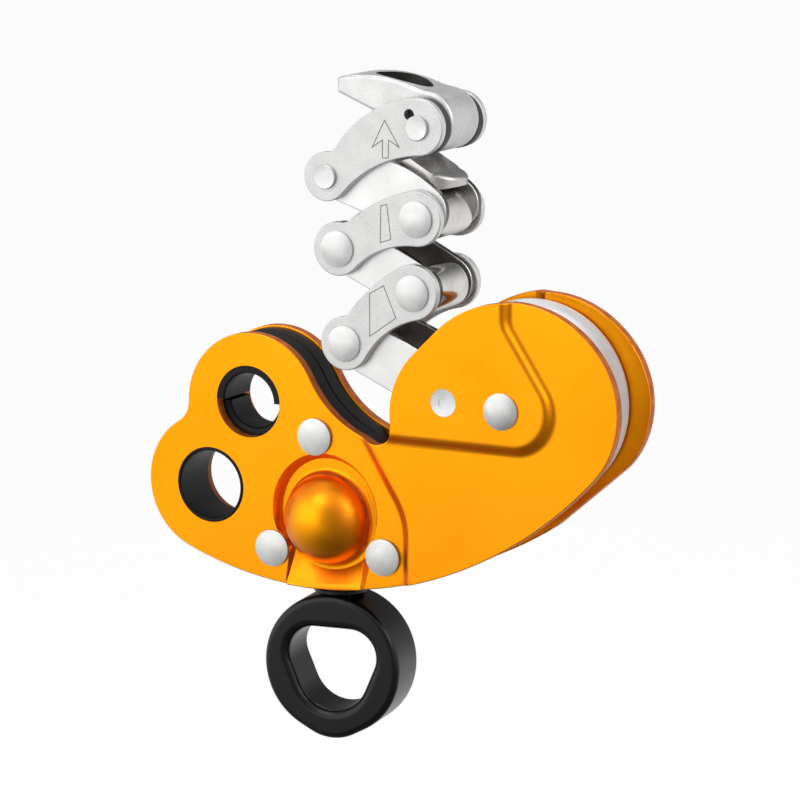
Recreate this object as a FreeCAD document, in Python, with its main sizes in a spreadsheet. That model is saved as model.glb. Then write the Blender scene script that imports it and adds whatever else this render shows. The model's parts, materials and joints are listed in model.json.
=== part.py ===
import FreeCAD, Part
import math
import os
import Sketcher
from FreeCAD import Placement, Rotation, Vector

# Rope friction-chain adjuster: two pressed side plates carry a pulley, a swivel
# eye and two lined attachment holes; three rings and three links of stainless
# chain stand on the plates and end in a release lever.
# Millimetres. The origin is the centre of the lower attachment hole on the
# middle plane, +X points to the pulley, -Y to the front, +Z up.
# A level is a distance from the middle plane towards the front.

# Driving dimensions: alias, value, what it is.
SIZES = (
    # pressed side plates
    ("plate_level", 5.25, "inner face of the plates round the attachment holes"),
    ("plate_wall", 2.8, "thickness of the pressed plates"),
    ("step_rise", 2.5, "how far the pulley side steps outwards"),
    ("step_run", 3.3, "width of that step's slope"),
    ("emboss_rise", 1.95, "how far the embossed pulley cover steps outwards"),
    ("emboss_run", 3.4, "width of the cover's slope"),
    ("bend_radius", 1.5, "rounding where a slope meets a face"),
    ("edge_break", 0.3, "broken outer edge of the plates"),
    # outline of the side plates
    ("lower_lobe_x", 0.0, "centre of the lower attachment lobe"),
    ("lower_lobe_z", 0.25, "centre of the lower attachment lobe"),
    ("lower_lobe_radius", 17.75, "lower attachment lobe"),
    ("heel_radius", 93.1, "gentle bow between lower lobe and belly"),
    ("belly_x", 27.1, "lowest place of the outline"),
    ("belly_drop", 23.35, "depth of the belly under the origin"),
    ("belly_radius", 108.8, "long bow under the plates"),
    ("chin_radius", 23.2, "tight bow at the right end"),
    ("nose_x", 85.9, "centre of the bow over the pulley"),
    ("nose_z", 24.7, "centre of the bow over the pulley"),
    ("nose_radius", 28.4, "bow over the pulley"),
    ("back_x", 74.6, "centre of the bow behind the chain"),
    ("back_z", 23.5, "centre of the bow behind the chain"),
    ("back_radius", 21.3, "bow behind the chain"),
    ("notch_z", 20.4, "centre height of the rope notch"),
    ("notch_radius", 5.25, "rope notch under the chain"),
    ("slope_radius", 26.9, "hollow slope up to the upper lobe"),
    ("upper_lobe_x", 12.2, "centre of the upper attachment lobe"),
    ("upper_lobe_z", 20.9, "centre of the upper attachment lobe"),
    ("upper_lobe_radius", 18.5, "upper attachment lobe"),
    ("waist_radius", 6.0, "hollow between the two lobes"),
    # foot of the step: three straight stretches
    ("step_top_x", 41.2, "step foot beside the rope notch"),
    ("step_top_z", 18.4, "step foot beside the rope notch"),
    ("step_lean", 58.0, "slant of the step foot, degrees under the level"),
    ("step_low_x", 54.6, "step foot down to the belly"),
    ("step_bend", 16.0, "bend of the step foot"),
    # foot of the pulley cover
    ("cover_start", 0.43, "left end of the cover, before the middle of the rope notch"),
    ("cover_corner_x", 86.4, "rounded lower corner of the cover"),
    ("cover_corner_z", 27.0, "rounded lower corner of the cover"),
    ("cover_corner_radius", 11.4, "rounded lower corner of the cover"),
    ("cover_lean", 56.3, "slant of the cover's upper edge, degrees"),
    ("cover_knee_x", 86.0, "upright end of the cover's upper edge"),
    ("cover_knee_radius", 4.0, "knee of the cover's upper edge"),
    # dome over the swivel bearing
    ("swivel_x", 32.8, "axis of the swivel eye"),
    ("dome_z", -5.5, "centre height of the dome"),
    ("dome_level", 5.0, "centre level of the dome"),
    ("dome_radius", 11.5, "outside of the dome"),
    ("socket_radius", 9.8, "inside of the dome"),
    ("dish_z", -3.7, "centre height of the dish round the dome"),
    ("dish_radius", 14.8, "rim of the dish"),
    ("dish_depth", 2.5, "depth of the dish"),
    ("dish_run", 1.7, "width of the dish's conical wall"),
    ("valley_radius", 2.5, "hollow between the dome and the dish"),
    ("boss_radius", 15.6, "thickening inside the plate behind the dish"),
    ("boss_rise", 1.95, "height of that thickening"),
    ("neck_top_half", 9.3, "half width of the raised neck under the dish"),
    ("neck_low_half", 11.4, "half width of the neck at the belly"),
    ("neck_rise", 0.8, "height of the neck over the face"),
    # attachment holes
    ("lower_hole_radius", 9.55, "hole in plates and spacers, lower"),
    ("lower_bore_radius", 8.65, "rope or connector bore, lower"),
    ("lower_lip", 0.3, "how far the lower liner stands out"),
    ("upper_hole_x", 11.1, "upper attachment hole"),
    ("upper_hole_z", 22.1, "upper attachment hole"),
    ("upper_hole_radius", 9.05, "hole in plates and spacers, upper"),
    ("upper_bore_radius", 7.1, "connector bore, upper"),
    ("liner_edge", 0.45, "rounded mouth of the liners"),
    ("upper_sink", 0.2, "how far the upper bush stands behind the face"),
    ("saddle_side", 6.85, "half width between the saddle's upright sides"),
    ("saddle_split", 0.8, "gap between the upper bush and the saddle"),
    ("saddle_corner", 1.3, "rounding where those sides meet the bore"),
    ("saddle_edge", 1.1, "rounded lip of the upper saddle"),
    # rivets through both plates
    ("rivet_shank", 2.6, "shank radius of the body rivets"),
    ("rivet_head", 4.6, "head radius of the body rivets"),
    ("rivet_height", 1.9, "head height of the body rivets"),
    ("rivet_side", 1.0, "upright side of those heads"),
    ("rivet_spot", 0.2, "spot face under a rivet head"),
    ("rivet_one_x", 30.2, "rivet above the dome"),
    ("rivet_one_z", 15.1, "rivet above the dome"),
    ("rivet_two_x", 18.0, "rivet left of the neck"),
    ("rivet_two_z", -14.2, "rivet left of the neck"),
    ("rivet_three_x", 49.3, "rivet right of the neck"),
    ("rivet_three_z", -13.2, "rivet right of the neck"),
    ("rear_corner_x", 98.5, "straightened lower corner of the rear plate"),
    ("rear_corner_z", 4.3, "straightened lower corner of the rear plate"),
    ("rear_corner_lean", 41.0, "slant of that corner, degrees"),
    # plastic spacers
    ("spacer_inset", 0.5, "spacer edge behind the plate edge"),
    ("spacer_part", 0.05, "half gap between the two spacers"),
    ("spacer_chamfer", 0.35, "broken edge along the parting line"),
    # pulley
    ("pulley_x", 83.7, "pulley axle"),
    ("pulley_z", 27.0, "pulley axle"),
    ("pulley_radius", 24.6, "rim of the sheave"),
    ("pulley_half", 7.1, "half width of the sheave"),
    ("rim_wall", 1.4, "wall beside the rope groove"),
    ("groove_flare", 1.2, "depth of the groove's mouth"),
    ("groove_radius", 5.8, "rope groove bottom"),
    ("rim_edge", 0.5, "rounded edge of the rim"),
    ("web_radius", 15.0, "recess in the sheave's flanks"),
    ("web_half", 4.4, "half width of the hub"),
    ("axle_radius", 4.0, "axle shank"),
    ("axle_head", 4.5, "axle head radius"),
    ("axle_height", 1.7, "axle head height"),
    ("axle_spacer_radius", 6.0, "spacer tubes beside the bearing"),
    ("pulley_bearing_outer", 11.0, "outside of the pulley bearing"),
    ("pulley_bearing_half", 3.5, "half width of the pulley bearing"),
    ("pulley_ball", 1.95, "ball radius"),
    # swivel
    ("housing_radius", 9.7, "swivel housing in the dome"),
    ("swivel_bearing_outer", 8.5, "outside of the swivel bearing"),
    ("swivel_bearing_half", 2.5, "half height of the swivel bearing"),
    ("swivel_ball", 1.4, "ball radius"),
    ("stem_radius", 3.5, "swivel stem through the bearing"),
    ("stem_shoulder", 4.0, "thicker part of the stem under the bearing"),
    ("stem_clear", 0.3, "gap round the stem's shoulder"),
    ("nut_radius", 5.0, "swivel nut, across flats half"),
    ("nut_height", 3.2, "swivel nut"),
    ("collar_radius", 6.75, "swivel collar"),
    ("collar_top", -23.8, "upper face of the collar"),
    ("collar_height", 1.1, "thickness of the collar"),
    ("eye_turn", 7.0, "how far the eye is turned on its stem, degrees"),
    ("eye_half", 7.2, "half thickness of the eye"),
    ("eye_crown_radius", 17.95, "upper bow of the eye"),
    ("eye_foot_z", -49.7, "foot circle of the eye"),
    ("eye_foot_radius", 11.9, "foot circle of the eye"),
    ("eye_edge", 1.7, "rounded outer edge of the eye"),
    ("eye_hole_x", 4.8, "upper corner circle of the eye's hole"),
    ("eye_hole_z", -40.3, "upper corner circle of the eye's hole"),
    ("eye_hole_corner", 6.8, "upper corner circle of the eye's hole"),
    ("eye_hole_low_z", -45.0, "bottom circle of the eye's hole"),
    ("eye_hole_radius", 9.4, "bottom circle of the eye's hole"),
    ("eye_hole_edge", 2.2, "rounded edge of the eye's hole"),
    ("stem_end_rise", 0.4, "stem end standing into the eye's hole"),
    # chain, common
    ("ring_level", 7.3, "inner face of the ring plates"),
    ("ring_wall", 2.05, "thickness of the ring plates"),
    ("link_level", 9.5, "inner face of the link plates"),
    ("link_wall", 2.1, "thickness of the link plates"),
    ("pin_radius", 2.6, "chain pins"),
    ("pin_fit", 0.05, "radial clearance of pins, trunnions and stem"),
    ("head_radius", 4.4, "domed pin heads"),
    ("head_height", 1.4, "domed pin heads"),
    ("flat_head_radius", 3.0, "flat pin heads of the top link"),
    ("flat_head_height", 0.8, "flat pin heads of the top link"),
    ("spigot_radius", 3.9, "barrel spigots in the ring plates"),
    ("barrel_left_radius", 5.15, "barrels on the left side of the rope"),
    ("barrel_right_radius", 5.7, "barrels on the right side of the rope"),
    ("chain_edge", 0.35, "rounded edges of link and ring plates"),
    # lowest ring, on the trunnions
    ("trunnion_x", 68.1, "pivot of the lowest ring in the plates"),
    ("trunnion_z", 27.7, "pivot of the lowest ring in the plates"),
    ("trunnion_radius", 3.4, "trunnion radius"),
    ("trunnion_dimple", 1.3, "centre mark on the trunnion"),
    ("ring_one_pitch", 30.1, "pin distance"),
    ("ring_one_drop", 23.5, "slant to the right, degrees"),
    ("ring_two_pitch", 22.6, "pin distance"),
    ("ring_two_drop", 24.4, "slant to the right, degrees"),
    ("ring_three_pitch", 26.3, "pin distance"),
    ("ring_three_drop", 19.5, "slant to the right, degrees"),
    ("link_pitch", 23.2, "pin distance of the two lower links"),
    ("link_c_lean", 36.3, "slant of the lowest link, degrees"),
    ("link_b_lean", 21.8, "slant of the middle link, degrees"),
    ("top_link_pitch", 28.4, "pin distance of the top link"),
    ("top_link_lean", 27.7, "slant of the top link, degrees"),
    # outline of the link plates
    ("link_left_lobe", 6.6, "left end of the lower links"),
    ("link_right_lobe", 6.8, "right end of the lower links"),
    ("link_lift", 0.2, "rise of the right end's centre over the pin"),
    ("link_crown", 45.0, "upper edge of the lower links"),
    ("link_hollow", 22.0, "lower edge of the lower links"),
    ("top_link_left_lobe", 6.0, "left end of the top link"),
    ("top_link_right_lobe", 6.9, "right end of the top link"),
    ("top_link_crown", 29.0, "upper edge of the top link"),
    ("top_link_hollow", 31.0, "lower edge of the top link"),
    ("shoulder_radius", 3.0, "small hollow beside the left end"),
    ("shoulder_turn", 61.0, "where that hollow meets the left end, degrees"),
    ("lock_hole_radius", 1.35, "locking hole beside the lever pin"),
    ("lock_hole_x", -0.5, "locking hole along the top link, from the lever pin"),
    ("lock_hole_z", 3.8, "locking hole across the top link"),
    # outline of the ring plates
    ("ring_end_radius", 6.1, "ends of the two lower rings"),
    ("ring_lift", 0.4, "rise of those ends over the pins"),
    ("ring_crown", 130.0, "upper edge of the two lower rings"),
    ("top_ring_left_radius", 5.2, "left end of the top ring"),
    ("top_ring_right_radius", 6.3, "right end of the top ring"),
    ("top_ring_lift", 1.9, "rise of the right end over the pin"),
    ("top_ring_crown", 35.0, "upper edge of the top ring"),
    # rope guide of the top ring, from the pin of the roller under it
    ("guide_root", 8.0, "reach of the guide between the ring plates"),
    ("guide_tip", 6.9, "reach of the guide beyond that pin"),
    ("guide_low", 6.9, "underside of the guide over that pin"),
    ("guide_high", 14.0, "crest of the guide over that pin"),
    ("guide_lip", 1.2, "height of the guide's slanting corners"),
    ("guide_wall", 2.4, "thickness of the guide's tip"),
    ("guide_nose", 6.8, "rounded tip of the guide seen from above"),
    ("guide_edge", 0.9, "rounded edges of the guide"),
    # release lever, from its pin
    ("lever_half", 7.15, "half width of the lever"),
    ("lever_barrel", 7.5, "barrel of the lever"),
    ("lever_shift", 0.4, "offset of the barrel, left of the pin"),
    ("lever_lift", 0.8, "rise of the barrel over the pin"),
    ("lever_saddle", 20.0, "hollow between barrel and crest"),
    ("lever_crest_x", 16.5, "crest of the lever, left of the pin"),
    ("lever_crest_z", 11.4, "crest of the lever over the pin"),
    ("lever_crest", 38.0, "bow of the crest"),
    ("lever_tip", 0.9, "rounded corners of the lever's tip"),
    ("lever_tip_x", 23.6, "tip of the lever, left of the pin"),
    ("lever_tip_low", 7.5, "lower corner of the tip over the pin"),
    ("lever_throat", 5.0, "hollow under the lever beside the barrel"),
    ("lever_throat_z", -3.5, "centre of that hollow under the pin"),
    ("lever_hole_x", 9.2, "middle of the lever's hole, left of the pin"),
    ("lever_hole_reach", 5.0, "end circles of the hole from its middle"),
    ("lever_hole_end", 2.6, "end circles of the hole"),
    ("lever_hole_side", 8.7, "sides of the hole"),
    ("lever_hole_tilt", 20.0, "slant of the hole, degrees"),
    ("lever_edge", 0.9, "rounded edges of the lever"),
    ("washer_radius", 6.8, "dark washers beside the lever"),
)

# Sizes that follow from the ones above, as formulas of the same sheet.
DERIVED = (
    ("face_level", "plate_level + plate_wall"),
    ("step_level", "plate_level + step_rise"),
    ("step_face", "face_level + step_rise"),
    ("cover_level", "step_level + emboss_rise"),
    ("cover_face", "step_face + emboss_rise"),
    ("step_slope", "atan(step_run / step_rise)"),
    ("cover_slope", "atan(emboss_run / emboss_rise)"),
    ("step_shift", "plate_wall * tan(45 - step_slope / 2deg)"),
    ("cover_shift", "plate_wall * tan(45 - cover_slope / 2deg)"),
    ("dish_slope", "atan(dish_run / dish_depth)"),
    ("dish_floor", "face_level - dish_depth"),
    ("valley_rise", "dish_floor + valley_radius - dome_level"),
    ("valley_reach", "sqrt((dome_radius + valley_radius)^2 - valley_rise^2)"),
    ("valley_share", "dome_radius / (dome_radius + valley_radius)"),
    ("notch_x", "back_x - sqrt((back_radius + notch_radius)^2 - (back_z - notch_z)^2)"),
    ("cover_left_x", "notch_x - cover_start"),
    ("step_cos", "cos(step_lean)"),
    ("step_sin", "sin(step_lean)"),
    ("step_half_turn", "tan(45 - step_lean / 2)"),
    ("cover_cos", "cos(cover_lean)"),
    ("cover_sin", "sin(cover_lean)"),
    ("cover_half_turn", "tan(45 - cover_lean / 2)"),
    ("lever_tip_z", "lever_crest_z - lever_crest + sqrt((lever_crest - lever_tip)^2"
                    " - (lever_tip_x - lever_crest_x)^2)"),
    ("lever_throat_x", "lever_shift + sqrt((lever_barrel + lever_throat)^2"
                       " - (lever_throat_z - lever_lift)^2)"),
    ("shoulder_cos", "cos(shoulder_turn)"),
    ("shoulder_sin", "sin(shoulder_turn)"),
    ("corner_cos", "cos(rear_corner_lean)"),
    ("corner_sin", "sin(rear_corner_lean)"),
    ("saddle_low", "sqrt(upper_bore_radius^2 - saddle_side^2)"),
    ("saddle_reach", "sqrt(upper_hole_radius^2 - saddle_split^2)"),
    ("eye_top", "collar_top - collar_height"),
    ("ring_face", "ring_level + ring_wall"),
    ("link_face", "link_level + link_wall"),
    ("c_left_x", "trunnion_x - ring_one_pitch * cos(ring_one_drop)"),
    ("c_left_z", "trunnion_z + ring_one_pitch * sin(ring_one_drop)"),
    ("c_right_x", "c_left_x + link_pitch * cos(link_c_lean)"),
    ("c_right_z", "c_left_z + link_pitch * sin(link_c_lean)"),
    ("b_left_x", "c_right_x - ring_two_pitch * cos(ring_two_drop)"),
    ("b_left_z", "c_right_z + ring_two_pitch * sin(ring_two_drop)"),
    ("b_right_x", "b_left_x + link_pitch * cos(link_b_lean)"),
    ("b_right_z", "b_left_z + link_pitch * sin(link_b_lean)"),
    ("a_left_x", "b_right_x - ring_three_pitch * cos(ring_three_drop)"),
    ("a_left_z", "b_right_z + ring_three_pitch * sin(ring_three_drop)"),
    ("a_right_x", "a_left_x + top_link_pitch * cos(top_link_lean)"),
    ("a_right_z", "a_left_z + top_link_pitch * sin(top_link_lean)"),
)

document = FreeCAD.newDocument("RopeAdjuster")
sheet = document.addObject("Spreadsheet::Sheet", "Sizes")
for row, (alias, value, meaning) in enumerate(SIZES, start=1):
    sheet.set(f"A{row}", alias)
    sheet.set(f"B{row}", str(value))
    sheet.set(f"C{row}", meaning)
    sheet.setAlias(f"B{row}", alias)
for row, (alias, formula) in enumerate(DERIVED, start=1):
    sheet.set(f"D{row}", alias)
    sheet.set(f"E{row}", "=" + formula)
    sheet.setAlias(f"E{row}", alias)
document.recompute()


class Size:
    # A number and the sheet expression that it follows.
    def __init__(self, number, text):
        self.number = number
        self.text = text

    def __float__(self):
        return self.number

    def __add__(self, other):
        return Size(self.number + float(other), f"({self.text} + {spelled(other)})")

    def __sub__(self, other):
        return Size(self.number - float(other), f"({self.text} - {spelled(other)})")

    def __rsub__(self, other):
        return Size(float(other) - self.number, f"({spelled(other)} - {self.text})")

    def __mul__(self, other):
        return Size(self.number * float(other), f"({self.text} * {spelled(other)})")

    def __truediv__(self, other):
        return Size(self.number / float(other), f"({self.text} / {spelled(other)})")

    def __neg__(self):
        return Size(-self.number, f"(-1 * {self.text})")

    __radd__ = __add__
    __rmul__ = __mul__


def spelled(value):
    return value.text if isinstance(value, Size) else repr(float(value))


class Sheet:
    # dim.plate_wall is the Size of that alias.
    def __getattr__(self, alias):
        value = sheet.get(alias)
        return Size(float(getattr(value, "Value", value)), "Sizes." + alias)


dim = Sheet()


def bind(target, path, value):
    if isinstance(value, Size):
        target.setExpression(path, value.text)


def assign(target, name, value):
    setattr(target, name, float(value))
    bind(target, name, value)


# Sketches.

def new_sketch(body, name, role, level=0.0):
    # A sketch on one of the body's own origin planes, raised by level.
    sketch = body.newObject("Sketcher::SketchObject", name)
    for plane in body.Origin.OriginFeatures:
        if plane.Role == role:
            sketch.AttachmentSupport = [(plane, "")]
    sketch.MapMode = "FlatFace"
    sketch.AttachmentOffset = Placement(Vector(0, 0, float(level)), Rotation())
    bind(sketch, "AttachmentOffset.Base.z", level)
    return sketch


def hold(sketch, kind, *where):
    # A dimension constraint whose last argument is a Size or a number.
    value = where[-1]
    index = sketch.addConstraint(Sketcher.Constraint(kind, *where[:-1], float(value)))
    bind(sketch, f"Constraints[{index}]", value)


def hold_point(sketch, edge, end, x, z):
    hold(sketch, "DistanceX", -1, 1, edge, end, x)
    hold(sketch, "DistanceY", -1, 1, edge, end, z)


def draw_circles(sketch, circles):
    for x, z, radius in circles:
        circle = Part.Circle(Vector(float(x), float(z), 0), Vector(0, 0, 1), float(radius))
        edge = sketch.addGeometry(circle)
        hold(sketch, "Radius", edge, radius)
        hold_point(sketch, edge, 3, x, z)


def arc_about(centre, radius, start, end):
    # The anticlockwise arc from start to end.
    first = math.atan2(start[1] - centre[1], start[0] - centre[0])
    last = math.atan2(end[1] - centre[1], end[0] - centre[0])
    while last <= first + 1e-9:
        last += 2 * math.pi
    circle = Part.Circle(Vector(centre[0], centre[1], 0), Vector(0, 0, 1), radius)
    return Part.ArcOfCircle(circle, first, last)


def draw_polygon(sketch, corners):
    # Corners are (x, z) or (x, z, bow): the edge that leaves a corner with a
    # bow is an arc of that radius, to the left turn if positive.
    places = [(float(corner[0]), float(corner[1])) for corner in corners]
    count = len(corners)
    edges = []
    for index, corner in enumerate(corners):
        start, end = places[index], places[(index + 1) % count]
        if len(corner) == 2:
            line = Part.LineSegment(Vector(*start, 0), Vector(*end, 0))
            edges.append((sketch.addGeometry(line), 1, 2))
            continue
        bow = float(corner[2])
        chord = math.hypot(end[0] - start[0], end[1] - start[1])
        reach = math.copysign(math.sqrt(max(bow * bow - chord * chord / 4, 0.0)), bow)
        centre = ((start[0] + end[0]) / 2 - reach * (end[1] - start[1]) / chord,
                  (start[1] + end[1]) / 2 + reach * (end[0] - start[0]) / chord)
        ends = (start, end) if bow > 0 else (end, start)
        edge = sketch.addGeometry(arc_about(centre, abs(bow), *ends))
        edges.append((edge, 1, 2) if bow > 0 else (edge, 2, 1))
    for index, corner in enumerate(corners):
        edge, first, last = edges[index]
        following = edges[(index + 1) % count]
        sketch.addConstraint(Sketcher.Constraint("Coincident", edge, last, following[0], following[1]))
        hold_point(sketch, edge, first, corner[0], corner[1])
        if len(corner) == 3:
            hold(sketch, "Radius", edge, corner[2] if float(corner[2]) > 0 else -corner[2])


class Bow:
    # One arc of a smooth outline, walked anticlockwise round the outline:
    # turn 1 bulges outwards and -1 inwards. An arc without a centre blends its
    # two neighbours, on the side of their centre line that side names.
    def __init__(self, radius, turn=1, x=None, z=None, side=1, free_x=False, straight=False):
        self.radius = radius
        self.turn = turn
        self.x = x
        self.z = z
        self.side = side
        self.free_x = free_x
        self.straight = straight
        self.centre = None if x is None else (float(x), float(z))

    def signed(self):
        return self.turn * float(self.radius)


def blend_centre(before, after, bow):
    first = abs(bow.signed() - before.signed())
    second = abs(bow.signed() - after.signed())
    across = after.centre[0] - before.centre[0]
    upward = after.centre[1] - before.centre[1]
    distance = math.hypot(across, upward)
    along = (first * first - second * second + distance * distance) / (2 * distance)
    off = bow.side * math.sqrt(first * first - along * along)
    return (before.centre[0] + (along * across - off * upward) / distance,
            before.centre[1] + (along * upward + off * across) / distance)


def meeting(before, after):
    # Where two arcs touch, or the two ends of the straight between them.
    across = after.centre[0] - before.centre[0]
    upward = after.centre[1] - before.centre[1]
    change = after.signed() - before.signed()
    if not before.straight:
        place = (before.centre[0] - before.signed() * across / change,
                 before.centre[1] - before.signed() * upward / change)
        return place, place
    distance = math.hypot(across, upward)
    cosine = change / distance
    sine = math.sqrt(1 - cosine * cosine)
    normal = ((across * cosine - upward * sine) / distance,
              (upward * cosine + across * sine) / distance)
    return tuple((bow.centre[0] - bow.signed() * normal[0], bow.centre[1] - bow.signed() * normal[1])
                 for bow in (before, after))


def draw_smooth(sketch, bows):
    # A closed outline of arcs, and straights after the bows that say so, each
    # tangent to the next.
    count = len(bows)
    for index, bow in enumerate(bows):
        if bow.centre is None:
            bow.centre = blend_centre(bows[index - 1], bows[(index + 1) % count], bow)
    meetings = [meeting(bow, bows[(index + 1) % count]) for index, bow in enumerate(bows)]
    edges = []
    for index, bow in enumerate(bows):
        entry, leave = meetings[index - 1][1], meetings[index][0]
        ends = (entry, leave) if bow.turn > 0 else (leave, entry)
        edge = sketch.addGeometry(arc_about(bow.centre, float(bow.radius), *ends))
        edges.append((edge, 1, 2) if bow.turn > 0 else (edge, 2, 1))
        if bow.straight:
            line = Part.LineSegment(Vector(*meetings[index][0], 0), Vector(*meetings[index][1], 0))
            edges.append((sketch.addGeometry(line), 1, 2))
        hold(sketch, "Radius", edge, bow.radius)
        if bow.x is not None and not bow.free_x:
            hold(sketch, "DistanceX", -1, 1, edge, 3, bow.x)
        if bow.x is not None:
            hold(sketch, "DistanceY", -1, 1, edge, 3, bow.z)
    for index, (edge, first, last) in enumerate(edges):
        following = edges[(index + 1) % len(edges)]
        sketch.addConstraint(Sketcher.Constraint("Tangent", edge, last, following[0], following[1]))


# Features.

def new_body(label):
    body = document.addObject("PartDesign::Body", label)
    body.Label = label
    return body


def settled(sketch):
    document.recompute()
    if sketch.solve() != 0 or not sketch.FullyConstrained:
        raise ValueError(f"{sketch.Label}: the sketch is not fully held")


def pad(body, sketch, length, slope=None, both_ways=False):
    settled(sketch)
    feature = body.newObject("PartDesign::Pad", sketch.Label + "_pad")
    feature.Profile = sketch
    assign(feature, "Length", length)
    if both_ways:
        feature.Midplane = True
    if slope is not None:
        assign(feature, "TaperAngle", -slope)
    sketch.Visibility = False
    document.recompute()
    return feature


def pocket(body, sketch, length=None, slope=None, forward=True):
    # Cuts from the sketch along its normal, to the given depth or right through.
    settled(sketch)
    before = body.Shape.Volume
    feature = body.newObject("PartDesign::Pocket", sketch.Label + "_cut")
    feature.Profile = sketch
    feature.Reversed = forward
    if length is None:
        feature.Type = "ThroughAll"
    else:
        assign(feature, "Length", length)
    if slope is not None:
        assign(feature, "TaperAngle", -slope)
    document.recompute()
    if before - body.Shape.Volume < 1e-3:
        raise ValueError(f"{feature.Label} cuts nothing")
    return feature


def turn(body, sketch, kind="PartDesign::Revolution"):
    settled(sketch)
    feature = body.newObject(kind, sketch.Label + "_turned")
    feature.Profile = sketch
    feature.ReferenceAxis = (sketch, ["V_Axis"])
    feature.Angle = 360
    document.recompute()
    return feature


def ball(body, name, kind, x, z, level, radius):
    # A sphere centred on a place given like a sketch place.
    feature = body.newObject(kind, name)
    for plane in body.Origin.OriginFeatures:
        if plane.Role == "XZ_Plane":
            feature.AttachmentSupport = [(plane, "")]
    feature.MapMode = "FlatFace"
    feature.AttachmentOffset = Placement(Vector(float(x), float(z), float(level)), Rotation())
    for axis, value in zip("xyz", (x, z, level)):
        bind(feature, f"AttachmentOffset.Base.{axis}", value)
    assign(feature, "Radius", radius)
    if kind == "PartDesign::AdditiveSphere":
        feature.Angle1 = 0
    document.recompute()
    return feature


def round_edges(body, radius, wanted, kind="PartDesign::Fillet"):
    # Rounds every edge of the body's last feature that wanted accepts.
    base = body.Tip
    names = [f"Edge{number}" for number, edge in enumerate(base.Shape.Edges, start=1)
             if wanted(base.Shape, edge)]
    if not names:
        raise ValueError(f"{body.Label}: no edge to round")
    feature = body.newObject(kind, body.Label + "_rounding")
    feature.Base = (base, names)
    assign(feature, "Radius" if kind.endswith("Fillet") else "Size", radius)
    document.recompute()
    return feature


def place(target, x=0.0, z=0.0, y=0.0, axis=None, angle=0.0):
    rotation = Rotation() if axis is None else Rotation(Vector(*axis), float(angle))
    target.Placement = Placement(Vector(float(x), float(y), float(z)), rotation)
    for letter, value in zip("xyz", (x, y, z)):
        bind(target, f"Placement.Base.{letter}", value)
    bind(target, "Placement.Rotation.Angle", angle)


def mirrored(label, source):
    copy = document.addObject("Part::Mirroring", label)
    copy.Label = label
    copy.Source = source
    copy.Normal = (0, 1, 0)
    return copy


def gathered(label, pieces):
    group = document.addObject("Part::Compound", label)
    group.Label = label
    group.Links = pieces
    return group


# A part turned about the Y axis is drawn as (radius, level) and laid over.
TO_FRONT = (1, 0, 0)


def turned(label, corners, x=0.0, z=0.0, upright=False):
    body = new_body(label)
    sketch = new_sketch(body, label + "_profile", "XZ_Plane")
    draw_polygon(sketch, corners)
    turn(body, sketch)
    if upright:
        place(body, x, z)
    else:
        place(body, x, z, axis=TO_FRONT, angle=90.0)
    return body


def tube(label, inner, outer, low, high, x=0.0, z=0.0, upright=False):
    corners = [(inner, low), (outer, low), (outer, high), (inner, high)]
    return turned(label, corners, x, z, upright)


nodes = []


def keep(*pieces):
    nodes.extend(pieces)


# Side plates.

NECK_SLOPE = 45.0
BLANK = (-25.0, -35.0, 122.0, 62.0)
FAR_LEFT, FAR_LOW, FAR_RIGHT, FAR_HIGH = BLANK


def plate_outline(grow=0.0):
    return [
        Bow(dim.lower_lobe_radius + grow, 1, dim.lower_lobe_x, dim.lower_lobe_z),
        Bow(dim.heel_radius + grow, 1, side=-1),
        Bow(dim.belly_radius + grow, 1, dim.belly_x, dim.belly_radius - dim.belly_drop),
        Bow(dim.chin_radius + grow, 1, side=1),
        Bow(dim.nose_radius + grow, 1, dim.nose_x, dim.nose_z, straight=True),
        Bow(dim.back_radius + grow, 1, dim.back_x, dim.back_z),
        Bow(dim.notch_radius - grow, -1, dim.notch_x, dim.notch_z, free_x=True),
        Bow(dim.slope_radius - grow, -1, side=-1),
        Bow(dim.upper_lobe_radius + grow, 1, dim.upper_lobe_x, dim.upper_lobe_z),
        Bow(dim.waist_radius - grow, -1, side=-1),
    ]


def frame(low_x, low_z, high_x, high_z):
    return [(low_x, low_z), (high_x, low_z), (high_x, high_z), (low_x, high_z)]


def step_foot(inset=0.0):
    # The raised pulley side, its foot drawn in by inset.
    top_x = dim.step_top_x + dim.step_sin * inset
    top_z = dim.step_top_z + dim.step_cos * inset
    low_x = dim.step_low_x + inset
    bend = dim.step_bend + inset
    reach = bend * dim.step_half_turn
    knee_z = top_z - (low_x - top_x) * dim.step_sin / dim.step_cos
    far_x = top_x - (FAR_HIGH - 2 - top_z) * dim.step_cos / dim.step_sin
    return [
        (far_x, FAR_HIGH - 2),
        (low_x - reach * dim.step_cos, knee_z + reach * dim.step_sin, -bend),
        (low_x, knee_z - reach),
        (low_x, FAR_LOW + 2),
        (FAR_RIGHT - 2, FAR_LOW + 2),
        (FAR_RIGHT - 2, FAR_HIGH - 2),
    ]


def cover_foot(inset=0.0):
    # The embossed pulley cover, its foot drawn in by inset.
    corner = dim.cover_corner_radius - inset
    knee = dim.cover_knee_radius + inset
    low_z = dim.cover_corner_z - corner
    edge_x = dim.cover_corner_x + corner * dim.cover_sin
    edge_z = dim.cover_corner_z + corner * dim.cover_cos
    knee_x = dim.cover_knee_x - inset
    knee_z = edge_z + (edge_x - knee_x) * dim.cover_sin / dim.cover_cos
    reach = knee * dim.cover_half_turn
    return [
        (dim.cover_left_x + inset, low_z),
        (dim.cover_corner_x, low_z, corner),
        (edge_x, edge_z),
        (knee_x + reach * dim.cover_cos, knee_z - reach * dim.cover_sin, -knee),
        (knee_x, knee_z + reach),
        (knee_x, FAR_HIGH - 2),
        (dim.cover_left_x + inset, FAR_HIGH - 2),
    ]


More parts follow.
